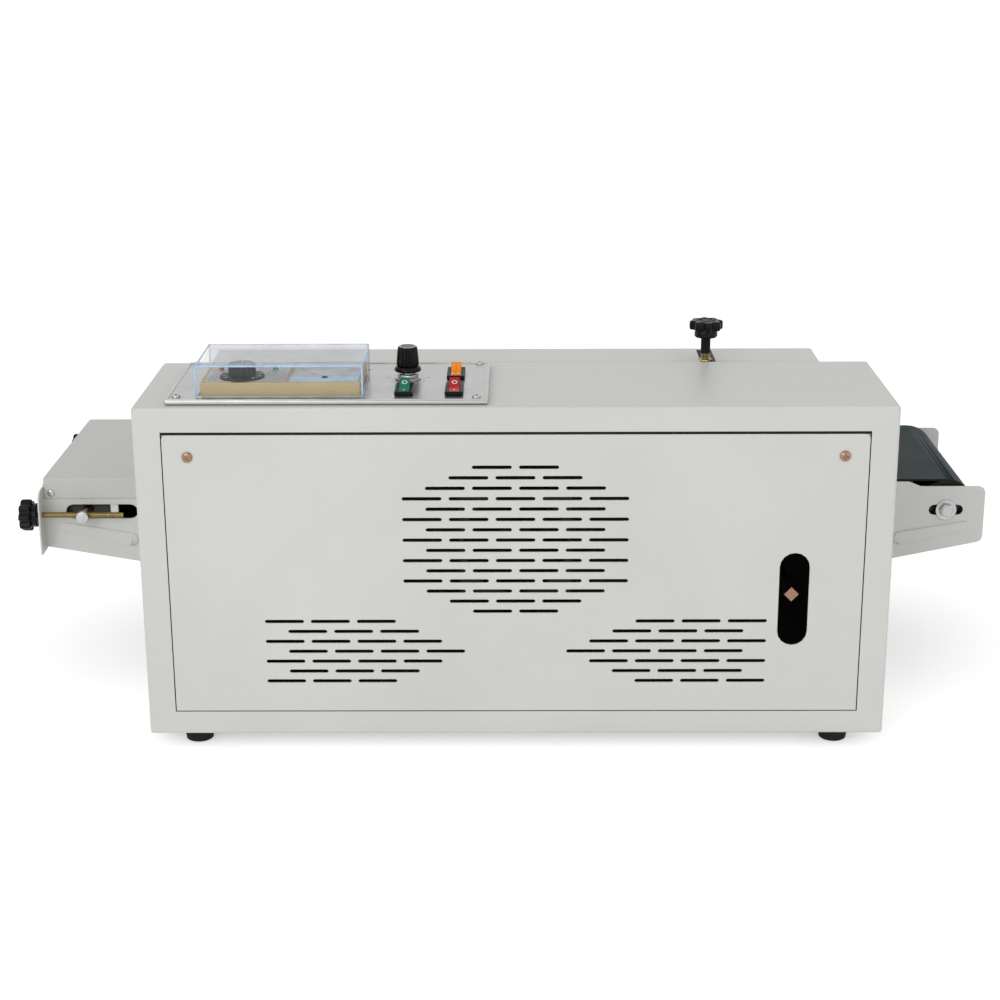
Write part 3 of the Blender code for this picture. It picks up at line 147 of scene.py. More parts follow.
def coat_group():
    """Powder coat: a fine orange peel, faint cloudy tone and small dust specks."""
    tree, start, end = new_group("powder_coat", [("Vector", "Vector"), ("Colour", "Color")], finish_outputs)
    vector = start.outputs["Vector"]
    peel = noise(tree, vector, 900, 2)
    cloud = noise(tree, vector, 9, 4)
    speck = span(tree, noise(tree, vector, 2600, 1), 0.70, 0.78, 0, 1)
    clouded = shaded(tree, span(tree, cloud, 0.3, 0.7, 0.965, 1.03), start.outputs["Colour"])
    dusted = tint(tree, maths(tree, "MULTIPLY", speck, 0.12), clouded, (0.25, 0.25, 0.24))
    rough = maths(tree, "ADD", span(tree, peel, 0.3, 0.7, -0.05, 0.05), span(tree, cloud, 0.3, 0.7, 0.40, 0.50))
    fill(tree, end, dusted, rough, peel)
    return tree


def brushed_group():
    """Metal with fine lines along one axis, clouded by handling."""
    tree, start, end = new_group("brushed", [("Vector", "Vector"), ("Colour", "Color"), ("Stretch", "Vector"),
                                             ("Depth", "Float", 0.1)], finish_outputs)
    vector = start.outputs["Vector"]
    stretched = node(tree, "ShaderNodeVectorMath", vector, start.outputs["Stretch"], operation="MULTIPLY")
    lines = noise(tree, stretched.outputs[0], 1, 4, 0.65)
    cloud = noise(tree, vector, 30, 3)
    lined = shaded(tree, span(tree, lines, 0.3, 0.7, 0.86, 1.10), start.outputs["Colour"])
    rough = maths(tree, "ADD", span(tree, lines, 0.2, 0.8, -0.08, 0.10), span(tree, cloud, 0.3, 0.7, 0.24, 0.34))
    fill(tree, end, lined, rough, maths(tree, "MULTIPLY", lines, start.outputs["Depth"]))
    return tree


def moulded_group():
    """Moulded plastic or rubber: a spark-eroded grain and light rubbing."""
    tree, start, end = new_group("moulded", [("Vector", "Vector"), ("Colour", "Color"), ("Gloss", "Float", 0.3)],
                                 finish_outputs)
    grain = noise(tree, start.outputs["Vector"], 1800, 2)
    rub = noise(tree, start.outputs["Vector"], 60, 4)
    rubbed = shaded(tree, span(tree, rub, 0.3, 0.7, 0.85, 1.2), start.outputs["Colour"])
    rough = maths(tree, "ADD", start.outputs["Gloss"], span(tree, rub, 0.3, 0.7, -0.06, 0.08))
    fill(tree, end, rubbed, rough, grain)
    return tree


def edge_group():
    """The rounded light that runs along a sheet's edges, and a mask of where they are."""
    tree, start, end = new_group("edge_light", [("Width", "Float", 0.0006)], [("Normal", "Vector"), ("Edge", "Float")])
    soft = node(tree, "ShaderNodeBevel", start.outputs["Width"], samples=4).outputs["Normal"]
    flat = tree.nodes.new("ShaderNodeNewGeometry").outputs["Normal"]
    meet = node(tree, "ShaderNodeVectorMath", soft, flat, operation="DOT_PRODUCT").outputs["Value"]
    fill(tree, end, soft, span(tree, meet, 0.99, 0.80, 0, 1))
    return tree


groups = {"coat": coat_group(), "brushed": brushed_group(), "moulded": moulded_group(), "edge": edge_group()}
materials = {}


def blank(name):
    """A new material, as its node tree and its shader."""
    made = bpy.data.materials.new(name)
    made.use_nodes = True
    materials[name] = made
    return made.node_tree, made.node_tree.nodes["Principled BSDF"]


def dress(tree, shader, colour, rough, lift):
    for label, value in (("Base Color", colour), ("Roughness", rough), ("Normal", lift.outputs["Normal"])):
        tree.links.new(value, shader.inputs[label])


def finish_with(name, kind, colour, metallic=0.0, bump=0.1, distance=0.0001, edge=0.0004, worn=None, inner_shade_depth=None,
                **values):
    """A material whose colour, roughness and bump come from one of the shared groups. It can be worn along its edges,
    and darkened nearly to black short of a depth along Y as painted shade, for a wall's inner face inside the cabinet.
    Other values go to the group, or else to the shader."""
    tree, shader = blank(name)
    shader.inputs["Metallic"].default_value = metallic
    where = tree.nodes.new("ShaderNodeTexCoord").outputs["Object"]
    effect = node(tree, "ShaderNodeGroup", where, (*colour, 1), node_tree=groups[kind])
    for key, value in values.items():
        label = key.replace("_", " ")
        holder = effect if label in effect.inputs else shader
        holder.inputs[label].default_value = value
    shade = effect.outputs["Colour"]
    lift = node(tree, "ShaderNodeBump", Strength=bump, Distance=distance, Height=effect.outputs["Height"])
    if edge:
        rim = node(tree, "ShaderNodeGroup", edge, node_tree=groups["edge"])
        tree.links.new(rim.outputs["Normal"], lift.inputs["Normal"])
        if worn:
            patchy = span(tree, noise(tree, where, 160, 4, 0.6), 0.42, 0.66, 0, 0.55)
            shade = tint(tree, maths(tree, "MULTIPLY", rim.outputs["Edge"], patchy), shade, worn)
    # Painted shade: short of the given depth along Y the colour goes nearly to black
    if inner_shade_depth:
        painted_inner_shade = span(tree, along(tree, where, 1), inner_shade_depth, inner_shade_depth + 0.0008, 0, 1)
        shade = tint(tree, painted_inner_shade, (0.02, 0.02, 0.021), shade)
    dress(tree, shader, shade, effect.outputs["Rough"], lift)
    return tree, shader


def woven(name, colour, thread, pitch, bump, roughness, mirror):
    """A woven face: crossed threads seen through a thin skin."""
    tree, shader = blank(name)
    shader.inputs["Specular IOR Level"].default_value = mirror
    where = tree.nodes.new("ShaderNodeTexCoord").outputs["Object"]
    waves = [maths(tree, "SINE", maths(tree, "MULTIPLY", along(tree, where, axis), tau / pitch)) for axis in (0, 1)]
    height = span(tree, maths(tree, "MULTIPLY", *waves), -1, 1, 0, 1)
    cloud = noise(tree, where, 14, 4)
    shade = shaded(tree, span(tree, cloud, 0.3, 0.7, 0.82, 1.25), tint(tree, height, colour, thread))
    rough = span(tree, cloud, 0.3, 0.7, roughness - 0.06, roughness + 0.08)
    dress(tree, shader, shade, rough, node(tree, "ShaderNodeBump", Strength=bump, Distance=0.0001, Height=height))


def see_through(name, colour, alpha, dust=None):
    """Clear plastic. Dust is the haze on faces that look up, where a far wall starts, and the haze on that wall."""
    tree, shader = finish_with(name, "moulded", colour, bump=0.01, edge=0, Gloss=0.10, Alpha=alpha, IOR=1.49)
    if not dust:
        return
    on_top, wall_start, on_wall = dust
    facing = along(tree, tree.nodes.new("ShaderNodeNewGeometry").outputs["Normal"], 2)
    level = span(tree, maths(tree, "ABSOLUTE", facing), 0.5, 1, alpha, on_top)
    where = tree.nodes.new("ShaderNodeTexCoord").outputs["Object"]
    patch = span(tree, noise(tree, where, 45, 4), 0.3, 0.7, 0.85, 1.15)
    wall = span(tree, along(tree, where, 1), wall_start - 0.0008, wall_start, 0, on_wall)
    haze = maths(tree, "MAXIMUM", maths(tree, "MULTIPLY", level, patch), wall)
    tree.links.new(haze, shader.inputs["Alpha"])


def paints():
    # The rail and outlet coats are the cabinet's grey paint made darker: painted shade, as the rails and the outlet
    # cover get less light
    for name, colour, bump, worn in (("grey_coat", (0.613, 0.616, 0.585), 0.10, (0.46, 0.46, 0.44)),
                                     ("rail_coat_painted_shade", (0.60, 0.605, 0.575), 0.12, (0.40, 0.40, 0.39)),
                                     ("outlet_coat_painted_shade", (0.535, 0.54, 0.515), 0.10, (0.40, 0.40, 0.39))):
        finish_with(name, "coat", colour, bump=bump, worn=worn)
    # The operator wall's inner face, inside the cabinet, is painted near-black as shade
    finish_with("wall_coat", "coat", (0.58, 0.59, 0.56), bump=0.10, worn=(0.44, 0.44, 0.42),
                inner_shade_depth=home.y + wall_face - 0.0024)
    finish_with("champagne_paint", "coat", (0.45, 0.345, 0.165), 0.20, 0.08)
    finish_with("casting", "coat", (0.10, 0.11, 0.11), 0.4, 0.8, 0.0003, worn=(0.30, 0.30, 0.30))
    finish_with("motor_enamel", "coat", (0.045, 0.048, 0.05), 0.2, 0.15, worn=(0.20, 0.20, 0.20))


def metals():
    """Each metal's colour, how metallic it is, its bump, and how its lines are stretched and cut."""
    for name, colour, metallic, bump, stretch, depth in (
            ("panel_metal", (0.44, 0.443, 0.445), 0.85, 0.12, (12, 1600, 1600), 0.5),
            ("frame_metal", (0.48, 0.48, 0.475), 1.0, 0.08, (30, 900, 900), 0.2),
            ("silver_face", (0.40, 0.41, 0.405), 0.6, 0.05, (1400, 14, 14), 0.3),
            ("chrome", (0.46, 0.46, 0.465), 1.0, 0.10, (300, 300, 300), 0.2),
            ("zinc", (0.36, 0.37, 0.365), 1.0, 0.06, (260, 260, 260), 0.3),
            ("turned_zinc", (0.40, 0.40, 0.395), 1.0, 0.10, (40, 1500, 40), 0.4),
            ("black_steel", (0.030, 0.026, 0.025), 0.6, 0.10, (40, 1500, 40), 0.4),
            ("yellow_zinc", (0.33, 0.26, 0.10), 1.0, 0.06, (300, 300, 300), 0.3),
            ("rosy_zinc", (0.34, 0.205, 0.13), 1.0, 0.10, (300, 300, 300), 0.5),
            ("copper", (0.31, 0.185, 0.125), 1.0, 0.08, (300, 300, 300), 0.3),
            ("brass_block", (0.50, 0.36, 0.15), 1.0, 0.10, (1200, 30, 1200), 0.4),
            ("anodised", (0.46, 0.46, 0.455), 1.0, 0.10, (30, 1400, 1400), 0.4)):
        finish_with(name, "brushed", colour, metallic, bump, Stretch=stretch, Depth=depth)


def plastics():
    """Plain plastics, black ones with a weak mirror, keys that glow a little, printed marks and clear ones."""
    for name, colour, gloss, bump in (("drum_rubber", (0.030, 0.030, 0.031), 0.60, 0.35),
                                      ("board_green", (0.015, 0.10, 0.045), 0.35, 0.15),
                                      ("terminal_green", (0.03, 0.28, 0.10), 0.35, 0.08),
                                      ("relay_blue", (0.03, 0.09, 0.32), 0.35, 0.05),
                                      ("white_nylon", (0.78, 0.78, 0.75), 0.45, 0.05),
                                      ("meter_paper", (0.80, 0.80, 0.79), 0.6, 0.02),
                                      ("meter_blue", (0.42, 0.56, 0.70), 0.25, 0.02),
                                      ("needle_red", (0.70, 0.10, 0.13), 0.4, 0.02),
                                      ("led_red", (0.55, 0.01, 0.01), 0.12, 0.01),
                                      ("led_green", (0.02, 0.35, 0.06), 0.12, 0.01)):
        finish_with(name, "moulded", colour, bump=bump, Gloss=gloss)
    for name, colour, gloss, bump, mirror in (("black_gloss", (0.006, 0.006, 0.0065), 0.22, 0.04, 0.13),
                                              ("black_satin", (0.009, 0.009, 0.0095), 0.40, 0.10, 0.10),
                                              ("black_rubber", (0.014, 0.014, 0.015), 0.68, 0.25, 0.15)):
        finish_with(name, "moulded", colour, bump=bump, Gloss=gloss, Specular_IOR_Level=mirror)
    for name, colour, gloss, bump, mirror, glow, strength in (
            ("green_key", (0.000, 0.120, 0.062), 0.20, 0.02, 0.16, (0, 0.30, 0.16), 0.10),
            ("red_key", (0.36, 0.005, 0.010), 0.20, 0.02, 0.16, (0.6, 0.01, 0.02), 0.10),
            ("amber_key", (0.62, 0.17, 0.002), 0.16, 0.02, 0.2, (1, 0.30, 0), 0.10),
            ("amber_lens", (0.74, 0.24, 0.003), 0.10, 0.01, 0.2, (1, 0.32, 0), 0.06)):
        finish_with(name, "moulded", colour, bump=bump, Gloss=gloss, Specular_IOR_Level=mirror,
                    Emission_Color=(*glow, 1), Emission_Strength=strength)
    for name, tone, gloss in (("mark_white", (0.85, 0.86, 0.85), 0.45), ("mark_black", (0.012, 0.012, 0.012), 0.5),
                              ("mark_grey", (0.26, 0.26, 0.26), 0.5)):
        finish_with(name, "moulded", tone, bump=0.02, edge=0, Gloss=gloss)
    see_through("edge_blue", (0.42, 0.64, 0.92), 0.80)
    see_through("edge_pale", (0.72, 0.80, 0.90), 0.34)
    see_through("meter_glass", (0.80, 0.88, 0.95), 0.10)
    see_through("clear_cover", (0.66, 0.69, 0.74), 0.045, (0.26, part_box("dust_cover")[1].y - 0.0014, 0.42))


def cloths():
    woven("belt_face", (0.010, 0.019, 0.021), (0.017, 0.029, 0.031), 0.0013, 0.25, 0.62, 0.15)
    woven("band_cloth", (0.30, 0.17, 0.08), (0.40, 0.25, 0.13), 0.0009, 0.3, 0.42, 0.4)


# Modelling helpers
def start_alone():
    """Leaves nothing selected, so that the next operators touch only the next piece."""
    bpy.ops.object.select_all(action="DESELECT")


def choose(piece):
    start_alone()
    piece.select_set(True)
    bpy.context.view_layer.objects.active = piece


def apply_step(piece, kind, **values):
    """Adds one modifier and applies it at once."""
    step = piece.modifiers.new(kind.lower(), kind)
    for key, value in values.items():
        setattr(step, key, value)
    choose(piece)
    bpy.ops.object.modifier_apply(modifier=step.name)


def take_all():
    """Opens the active piece in edit mode with everything selected."""
    bpy.ops.object.mode_set(mode="EDIT")
    bpy.ops.mesh.select_all(action="SELECT")


def face_out(merge=None):
    """Ends edit mode with all faces pointing outwards, after merging doubles where a distance is given."""
    bpy.ops.mesh.select_all(action="SELECT")
    if merge:
        bpy.ops.mesh.remove_doubles(threshold=merge)
    bpy.ops.mesh.normals_make_consistent(inside=False)
    bpy.ops.object.mode_set(mode="OBJECT")


def send(piece, at, axis=upward, turn=0.0):
    """Stands a piece that was drawn upright on a point, with its top toward an axis."""
    piece.location = at
    lean = Vector(upward).rotation_difference(Vector(axis))
    piece.rotation_euler = (lean @ Quaternion(upward, turn)).to_euler()


def settle(piece, name, material, body=None, angle=35):
    """Puts a piece's place into its mesh, names, paints and shades it, and lets it ride."""
    choose(piece)
    piece.name = name
    bpy.ops.object.transform_apply()
    piece.data.materials.clear()
    piece.data.materials.append(materials[material])
    bpy.ops.object.shade_smooth_by_angle(angle=radians(angle))
    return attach(piece, body) if body else piece


def cube(low, high, edge=0.0, steps=2):
    """A block from one corner to the other, with its edges rounded."""
    low, high = Vector(low), Vector(high)
    start_alone()
    bpy.ops.mesh.primitive_cube_add(size=1, location=(low + high) / 2, scale=high - low)
    piece = bpy.context.object
    bpy.ops.object.transform_apply(location=False, rotation=False, scale=True)
    if edge:
        apply_step(piece, "BEVEL", width=edge, segments=steps, limit_method="NONE")
    return piece


def bar(name, low, high, material, body, edge=0.0):
    return settle(cube(low, high, edge), name, material, body, 40)


def swung_cube(low, high, edge=0.0):
    """A block that turns about the origin and not about its own middle."""
    piece = cube(low, high, edge)
    choose(piece)
    bpy.ops.object.transform_apply()
    return piece


def ribs(name, count, low, high, edge, at, material):
    """Ribs set evenly round a lengthwise axis that starts at a point."""
    for k in range(count):
        rib = swung_cube(low, high, edge)
        rib.location, rib.rotation_euler = at, (tau * k / count, 0, 0)
        settle(rib, f"{name}_{k}", material, "cabinet")


def draw_up(piece, rings):
    """Extrudes the face or ring of edges along the upright through (radius, height) rings."""
    radius, height = rings[0]
    take_all()
    for wide, high in rings[1:]:
        bpy.ops.mesh.extrude_region_move(TRANSFORM_OT_translate={"value": (0, 0, high - height)})
        bpy.ops.transform.resize(value=(wide / radius, wide / radius, 1), center_override=(0, 0, 0))
        radius, height = wide, high
    face_out(merge=0.000001)
    return piece


def disc(sides, radius, height, filled=True):
    start_alone()
    bpy.ops.mesh.primitive_circle_add(vertices=sides, radius=radius, fill_type="NGON" if filled else "NOTHING",
                                      location=(0, 0, height))
    bpy.ops.object.transform_apply()
    return bpy.context.object


def tube(sides, rings):
    """A round piece with a bore, drawn through its rings and back to the first one."""
    return draw_up(disc(sides, *rings[0], filled=False), [*rings, rings[0]])


def turned(name, rings, at, axis, material, body, sides=40, bored=False, angle=35):
    """A round piece drawn up through its rings, solid or bored."""
    piece = tube(sides, rings) if bored else draw_up(disc(sides, *rings[0]), rings)
    send(piece, at, axis)
    return settle(piece, name, material, body, angle)


def lobed(name, lobes, depth, rings, at, axis, material, body, levels, angle=40):
    """A grip: six corners to a lobe, the valley between two lobes pulled in, drawn up and rounded by subdivision."""
    radius, height = rings[0]
    piece = disc(6 * lobes, radius, height)
    for first, share in ((2, 0.35), (3, 1.0), (4, 1.0), (5, 0.35)):
        scale = 1 - share * depth / radius
        bpy.ops.object.mode_set(mode="EDIT")
        bpy.ops.mesh.select_all(action="DESELECT")
        bpy.ops.object.mode_set(mode="OBJECT")
        for corner in piece.data.vertices:
            corner.select = corner.index % 6 == first
        bpy.ops.object.mode_set(mode="EDIT")
        bpy.ops.transform.resize(value=(scale, scale, 1), center_override=(0, 0, 0))
        bpy.ops.object.mode_set(mode="OBJECT")
    draw_up(piece, rings)
    if levels:
        apply_step(piece, "SUBSURF", levels=levels, render_levels=levels)
    send(piece, at, axis)
    return settle(piece, name, material, body, angle)


def hexagon(name, radius, low, high, at, axis, material, body, edge=0.0005, turn=0.0):
    """A six-sided head or nut with eased corners."""
    start_alone()
    bpy.ops.mesh.primitive_cylinder_add(vertices=6, radius=radius, depth=high - low, location=(0, 0, (low + high) / 2))
    piece = bpy.context.object
    bpy.ops.object.transform_apply()
    apply_step(piece, "BEVEL", width=edge, segments=2, limit_method="ANGLE")
    send(piece, at, axis, turn)
    return settle(piece, name, material, body, 30)


def carve(piece, cutter):
    apply_step(piece, "BOOLEAN", operation="DIFFERENCE", object=cutter, solver="EXACT")
    bpy.data.objects.remove(cutter, do_unlink=True)


def screws(name, radius, height, material, body, places):
    """Pan-head screws with a cross recess: one is modelled, and each place gets a copy with its own mesh."""
    dome = [(radius, 0), (radius, height * 0.3), (radius * 0.93, height * 0.62), (radius * 0.72, height * 0.87),
            (radius * 0.38, height * 0.98), (radius * 0.05, height)]
    head = draw_up(disc(28, *dome[0]), dome)
    blade = (radius * 0.56, radius * 0.13)
    for long, short in (blade, blade[::-1]):
        carve(head, cube((-long, -short, height * 0.45), (long, short, height * 1.5)))
    for i, (at, axis, turn) in enumerate(places):
        choose(head)
        bpy.ops.object.duplicate(linked=False)
        copy = bpy.context.object
        send(copy, at, axis, turn)
        settle(copy, f"{name}_{i}", material, body, 30)
    bpy.data.objects.remove(head, do_unlink=True)


def threaded(name, start, end, radius, pitch, material, body):
    """A rod with a ridge wound round its core, a small triangle carried up the axis by a Screw modifier."""
    length = (end - start).length
    root = radius - pitch * 0.6
    core = [(root * 0.8, 0), (root, root * 0.2), (root, length - root * 0.2), (root * 0.8, length)]
    turned(name + "_core", core, start, end - start, material, body, 20)
    start_alone()
    bpy.ops.mesh.primitive_circle_add(vertices=3, radius=pitch * 0.55, fill_type="NOTHING",
                                      location=(radius - pitch * 0.55, 0, pitch), rotation=(pi / 2, pi / 2, 0))
    bpy.ops.object.transform_apply()
    ridge = bpy.context.object
    apply_step(ridge, "SCREW", axis="Z", angle=tau, steps=14, render_steps=14, screw_offset=pitch,
               iterations=int(length / pitch) - 2, use_merge_vertices=False)
    take_all()
    bpy.ops.mesh.fill_holes(sides=3)
    face_out()
    send(ridge, start, end - start)
    return settle(ridge, name + "_ridge", material, body, 40)


def figure(name, text, size, at, material, body, turn=0.0, thickness=0.00006):
    """A plain printed number, as a thin raised mesh."""
    start_alone()
    bpy.ops.object.text_add(location=at, rotation=(0, 0, turn))
    words = bpy.context.object
    words.data.body = text
    words.data.size = size
    words.data.align_x, words.data.align_y = "CENTER", "CENTER"
    words.data.extrude = thickness
    words.data.resolution_u = 3
    bpy.ops.object.convert(target="MESH")
    return settle(bpy.context.object, name, material, body, 40)


def ticks(name, centre, strokes, height, material, body):
    """Scale marks laid radially round a centre, as one piece. Each stroke is (angle, inner, outer, width)."""
    made = []
    for angle, inner, outer, width in strokes:
        mark = swung_cube((inner, -width / 2, 0), (outer, width / 2, height))
        send(mark, centre, upward, angle)
        made.append(mark)
    start_alone()
    for mark in made:
        mark.select_set(True)
    bpy.context.view_layer.objects.active = made[0]
    bpy.ops.object.join()
    return settle(bpy.context.object, name, material, body, 40)


def ray(angle, reach, height=0.0):
    """A step from a scale's centre to a point on it."""
    return Vector((cos(angle) * reach, sin(angle) * reach, height))


def skin(name, material, body, angle=32):
    """A copy of a CAD piece with its seams closed and its round faces shaded smooth, which stands for it."""
    piece = bpy.data.objects.new(name + "_skin", nodes[name].data.copy())
    bpy.context.scene.collection.objects.link(piece)
    choose(piece)
    take_all()
    bpy.ops.mesh.remove_doubles(threshold=0.000002)
    bpy.ops.object.mode_set(mode="OBJECT")
    settle(piece, name + "_skin", material, None, angle)
    apply_step(piece, "WEIGHTED_NORMAL", keep_sharp=True, weight=80)
    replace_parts(piece, name)
    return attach(piece, body)


def paint(material, *names):
    """Gives CAD pieces that keep their own shape a finish."""
    for name in names:
        nodes[name].data.materials.clear()
        nodes[name].data.materials.append(materials[material])


# The cabinet with its door, feet and screws
def cabinet():
    for name in ("cabinet_shell", "head_cover", "lower_guard"):
        skin(name, "grey_coat", "cabinet")
    paint("grey_coat", "service_door")
    paint("wall_coat", "operator_wall")
    paint("zinc", "base_plate")
    door_screws = [(place(x, 0, 0.2444), to_door, turn) for x, turn in ((-0.2662, 0.5), (0.2669, 0.2))]
    for side, (at, axis, turn) in zip(("left", "right"), door_screws):
        turned("door_washer_" + side, [(0.0024, -0.0001), (0.0048, -0.0001), (0.0049, 0.0003), (0.0024, 0.0005)],
               at, axis, "zinc", "cabinet", 32, bored=True)
    screws("door_screw", 0.0042, 0.0024, "rosy_zinc", "cabinet", door_screws)
    # The dark strips in the door gap are painted shade
    door_gasket()
    for side in ("door", "operator"):
        for end in ("left", "right"):
            foot(f"foot_{side}_{end}")
    screws("wall_screw", 0.0036, 0.0020, "zinc", "cabinet",
           [(place(x, wall_face, z), to_operator, z * 90) for x in (-0.296, 0.296) for z in (0.020, 0.143, 0.266)])
    for name, y, z, turns in (("head_screw", 0.170, 0.2500, (0.4, 0.9)), ("guard_screw", 0.166, 0.2060, (0.2, 0.7))):
        screws(name, 0.0034, 0.0018, "zinc", "cabinet",
               [(place(-0.268, y, z), to_outlet, turns[0]), (place(0.268, y, z), to_inlet, turns[1])])
    mount = place(-0.010, wall_face, 0.060)
    screws("wall_mount_screw", 0.0036, 0.0020, "zinc", "cabinet",
           [(mount + Vector((x, 0, z)), to_operator, x * 70) for x in (-0.090, 0.090) for z in (-0.020, 0.020)])


def door_gasket():
    """Dark strips in the gap round the service door, set where the gap lies in shade: painted shade."""
    door_side, door_sill, door_top = 0.2865, 0.0215, 0.2628
    frame_side, frame_sill, frame_top = 0.2875, 0.0205, 0.2652
    front, back = 0.0007, 0.0012
    for side, x0, z0, x1, z1 in (("left", -frame_side, door_sill, -door_side, door_top),
                                 ("right", door_side, door_sill, frame_side, door_top),
                                 ("sill", -frame_side, frame_sill, frame_side, door_sill),
                                 ("top", -frame_side, door_top, frame_side, frame_top)):
        bar("door_gasket_" + side, place(x0, front, z0), place(x1, back, z1), "black_rubber", "cabinet", 0.0001)


def foot(name):
    """A turned rubber foot with a recessed fixing screw."""
    low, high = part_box(name)
    centre = Vector(((low.x + high.x) / 2, (low.y + high.y) / 2, 0))
    wide, tall = (high.x - low.x) / 2, high.z - low.z
    rings = [(wide * across, tall * share) for across, share in (
        (0.34, 0.30), (0.34, 0.06), (0.42, 0), (0.86, 0), (0.92, 0.05), (1, 0.72), (1, 0.94), (0.95, 1), (0.34, 1))]
    rubber = turned(name + "_rubber", rings, centre, upward, "black_rubber", None, 40, bored=True)
    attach(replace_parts(rubber, name), "cabinet")
    turned(name + "_bolt", [(wide * 0.30, tall * 0.12), (wide * 0.31, tall * 0.16), (wide * 0.31, tall * 0.5)], centre,
           upward, "zinc", "cabinet", 24)


# The control panel and what stands on it
def panel():
    """The brushed panel with its rim, its screws and the scale round the speed knob."""
    paint("panel_metal", "control_panel")
    low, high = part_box("control_panel")
    start_alone()
    bpy.ops.mesh.primitive_plane_add(size=1, location=((low.x + high.x) / 2, (low.y + high.y) / 2, high.z - 0.0004))
    rim = bpy.context.object
    rim.scale = (high.x - low.x + 0.0002, high.y - low.y + 0.0002, 1)
    bpy.ops.object.transform_apply()
    take_all()
    bpy.ops.mesh.inset(thickness=0.0026)
    bpy.ops.mesh.delete(type="FACE")
    bpy.ops.mesh.select_all(action="SELECT")
    bpy.ops.mesh.extrude_region_move(TRANSFORM_OT_translate={"value": (0, 0, 0.0011)})
    face_out()
    apply_step(rim, "BEVEL", width=0.0004, segments=2, limit_method="ANGLE")
    settle(rim, "panel_frame", "frame_metal", "cabinet", 30)
    corners = ((-0.2757, 0.0185, 0.3), (-0.2757, 0.1317, 0.9), (-0.0315, 0.0149, 0.6), (-0.0307, 0.1317, 0.1))
    screws("panel_screw", 0.0036, 0.0020, "chrome", "cabinet",
           [(place(x, y, panel_top), upward, turn) for x, y, turn in corners])
    centre = place(speed_x, speed_y, panel_top)
    angles = [radians(225 - 27 * k) for k in range(11)]
    ticks("speed_scale", centre, [(angle, 0.0134, 0.0150, 0.0004) for angle in angles], 0.00008, "mark_grey", "cabinet")
    for k in range(0, 11, 2):
        figure(f"speed_figure_{k}", str(k), 0.0038, centre + ray(angles[k], 0.0176), "mark_grey", "cabinet")


def controller():
    """The temperature controller: its silver face, two lamps, and then its meter and its dial."""
    paint("champagne_paint", "temperature_controller")
    top = home.z + controller_top
    meter_left, meter_right = home.x - 0.1840, home.x - 0.1275
    near, strip, far = home.y + 0.0190, home.y + 0.0415, home.y + 0.0860
    bar("controller_face", (home.x - 0.2525, near - 0.0002, top - 0.0002),
        (meter_left - 0.0025, far + 0.0002, top + 0.0004), "silver_face", "cabinet", 0.0001)
    meter(meter_left, meter_right, near, strip, far, top)
    for name, x, material in (("lamp_red", -0.2440, "led_red"), ("lamp_green", -0.1990, "led_green")):
        at = place(x, 0.0600, controller_top + 0.0004)
        turned(name, [(0.0022, 0), (0.0020, 0.0012), (0.0012, 0.0020), (0.0003, 0.0022)], at, upward, material,
               "cabinet", 20)
        turned(name + "_ring", [(0.0023, 0), (0.0031, 0), (0.0030, 0.0005), (0.0023, 0.0006)], at, upward, "chrome",
               "cabinet", 24, bored=True)
    dial(place(dial_x, dial_y, controller_top + 0.0005))


def meter(left, right, near, strip, far, top):
    """A paper scale under glass with its needle, and a blue strip in front with the zero screw."""
    bar("meter_paper", (left, strip + 0.0004, top - 0.0011), (right, far, top - 0.0008), "meter_paper", "cabinet")
    bar("meter_strip", (left + 0.0001, near + 0.0001, top - 0.0011), (right - 0.0001, strip, top + 0.0003),
        "meter_blue", "cabinet", 0.0003)
    bar("meter_glass", (left + 0.0002, strip + 0.0004, top - 0.0003), (right - 0.0002, far - 0.0001, top + 0.0002),
        "meter_glass", "cabinet")
    middle = (left + right) / 2
    screws("meter_zero_screw", 0.0026, 0.0009, "black_satin", "cabinet",
           [(Vector((middle, near + 0.0140, top + 0.0003)), upward, 0.4)])
    hub = Vector((middle, near + 0.0170, top - 0.0008))
    angles = [radians(142 - 104 * k / 30) for k in range(31)]
    long_stroke, short_stroke = (0.0360, 0.0398, 0.0004), (0.0360, 0.0382, 0.00025)
    ticks("meter_scale", hub, [(angle, *(short_stroke if k % 5 else long_stroke)) for k, angle in enumerate(angles)],
          0.00005, "mark_black", "cabinet")
    for k in range(0, 31, 10):
        figure(f"meter_figure_{k}", str(k * 10), 0.0036, hub + ray(angles[k], 0.0432), "mark_black", "cabinet",
               angles[k] - pi / 2, 0.00003)
    ticks("meter_needle", hub + Vector((0, 0, 0.0002)), [(radians(128), 0.0080, 0.0345, 0.0005)], 0.00012,
          "needle_red", "cabinet")


def dial(at):
    """The temperature dial: a plate with plain figures, and a fluted grip with a pointer."""
    plate = turned("dial_plate", [(0.0184, 0), (0.0184, 0.0003), (0.0180, 0.0012), (0.0174, 0.0014)], at, upward,
                   "black_satin", None, 48)
    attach(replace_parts(plate, "temperature_dial"), "dial")
    grip = [(0.0112, 0.0012), (0.0112, 0.0100), (0.0108, 0.0110), (0.0096, 0.0115), (0.0088, 0.0112)]
    lobed("dial_grip", 32, 0.0006, grip, at, upward, "black_gloss", "dial", 0)
    bar("dial_pointer", at + Vector((-0.0004, 0.0035, 0.0111)), at + Vector((0.0004, 0.0104, 0.01165)), "mark_white",
        "dial", 0.0001)
    for k in range(9):
        angle = radians(215 - 32.5 * k)
        figure(f"dial_figure_{k}", str(k * 5), 0.0030, at + ray(angle, 0.0148, 0.00143), "mark_white", "dial",
               angle - pi / 2, 0.00004)


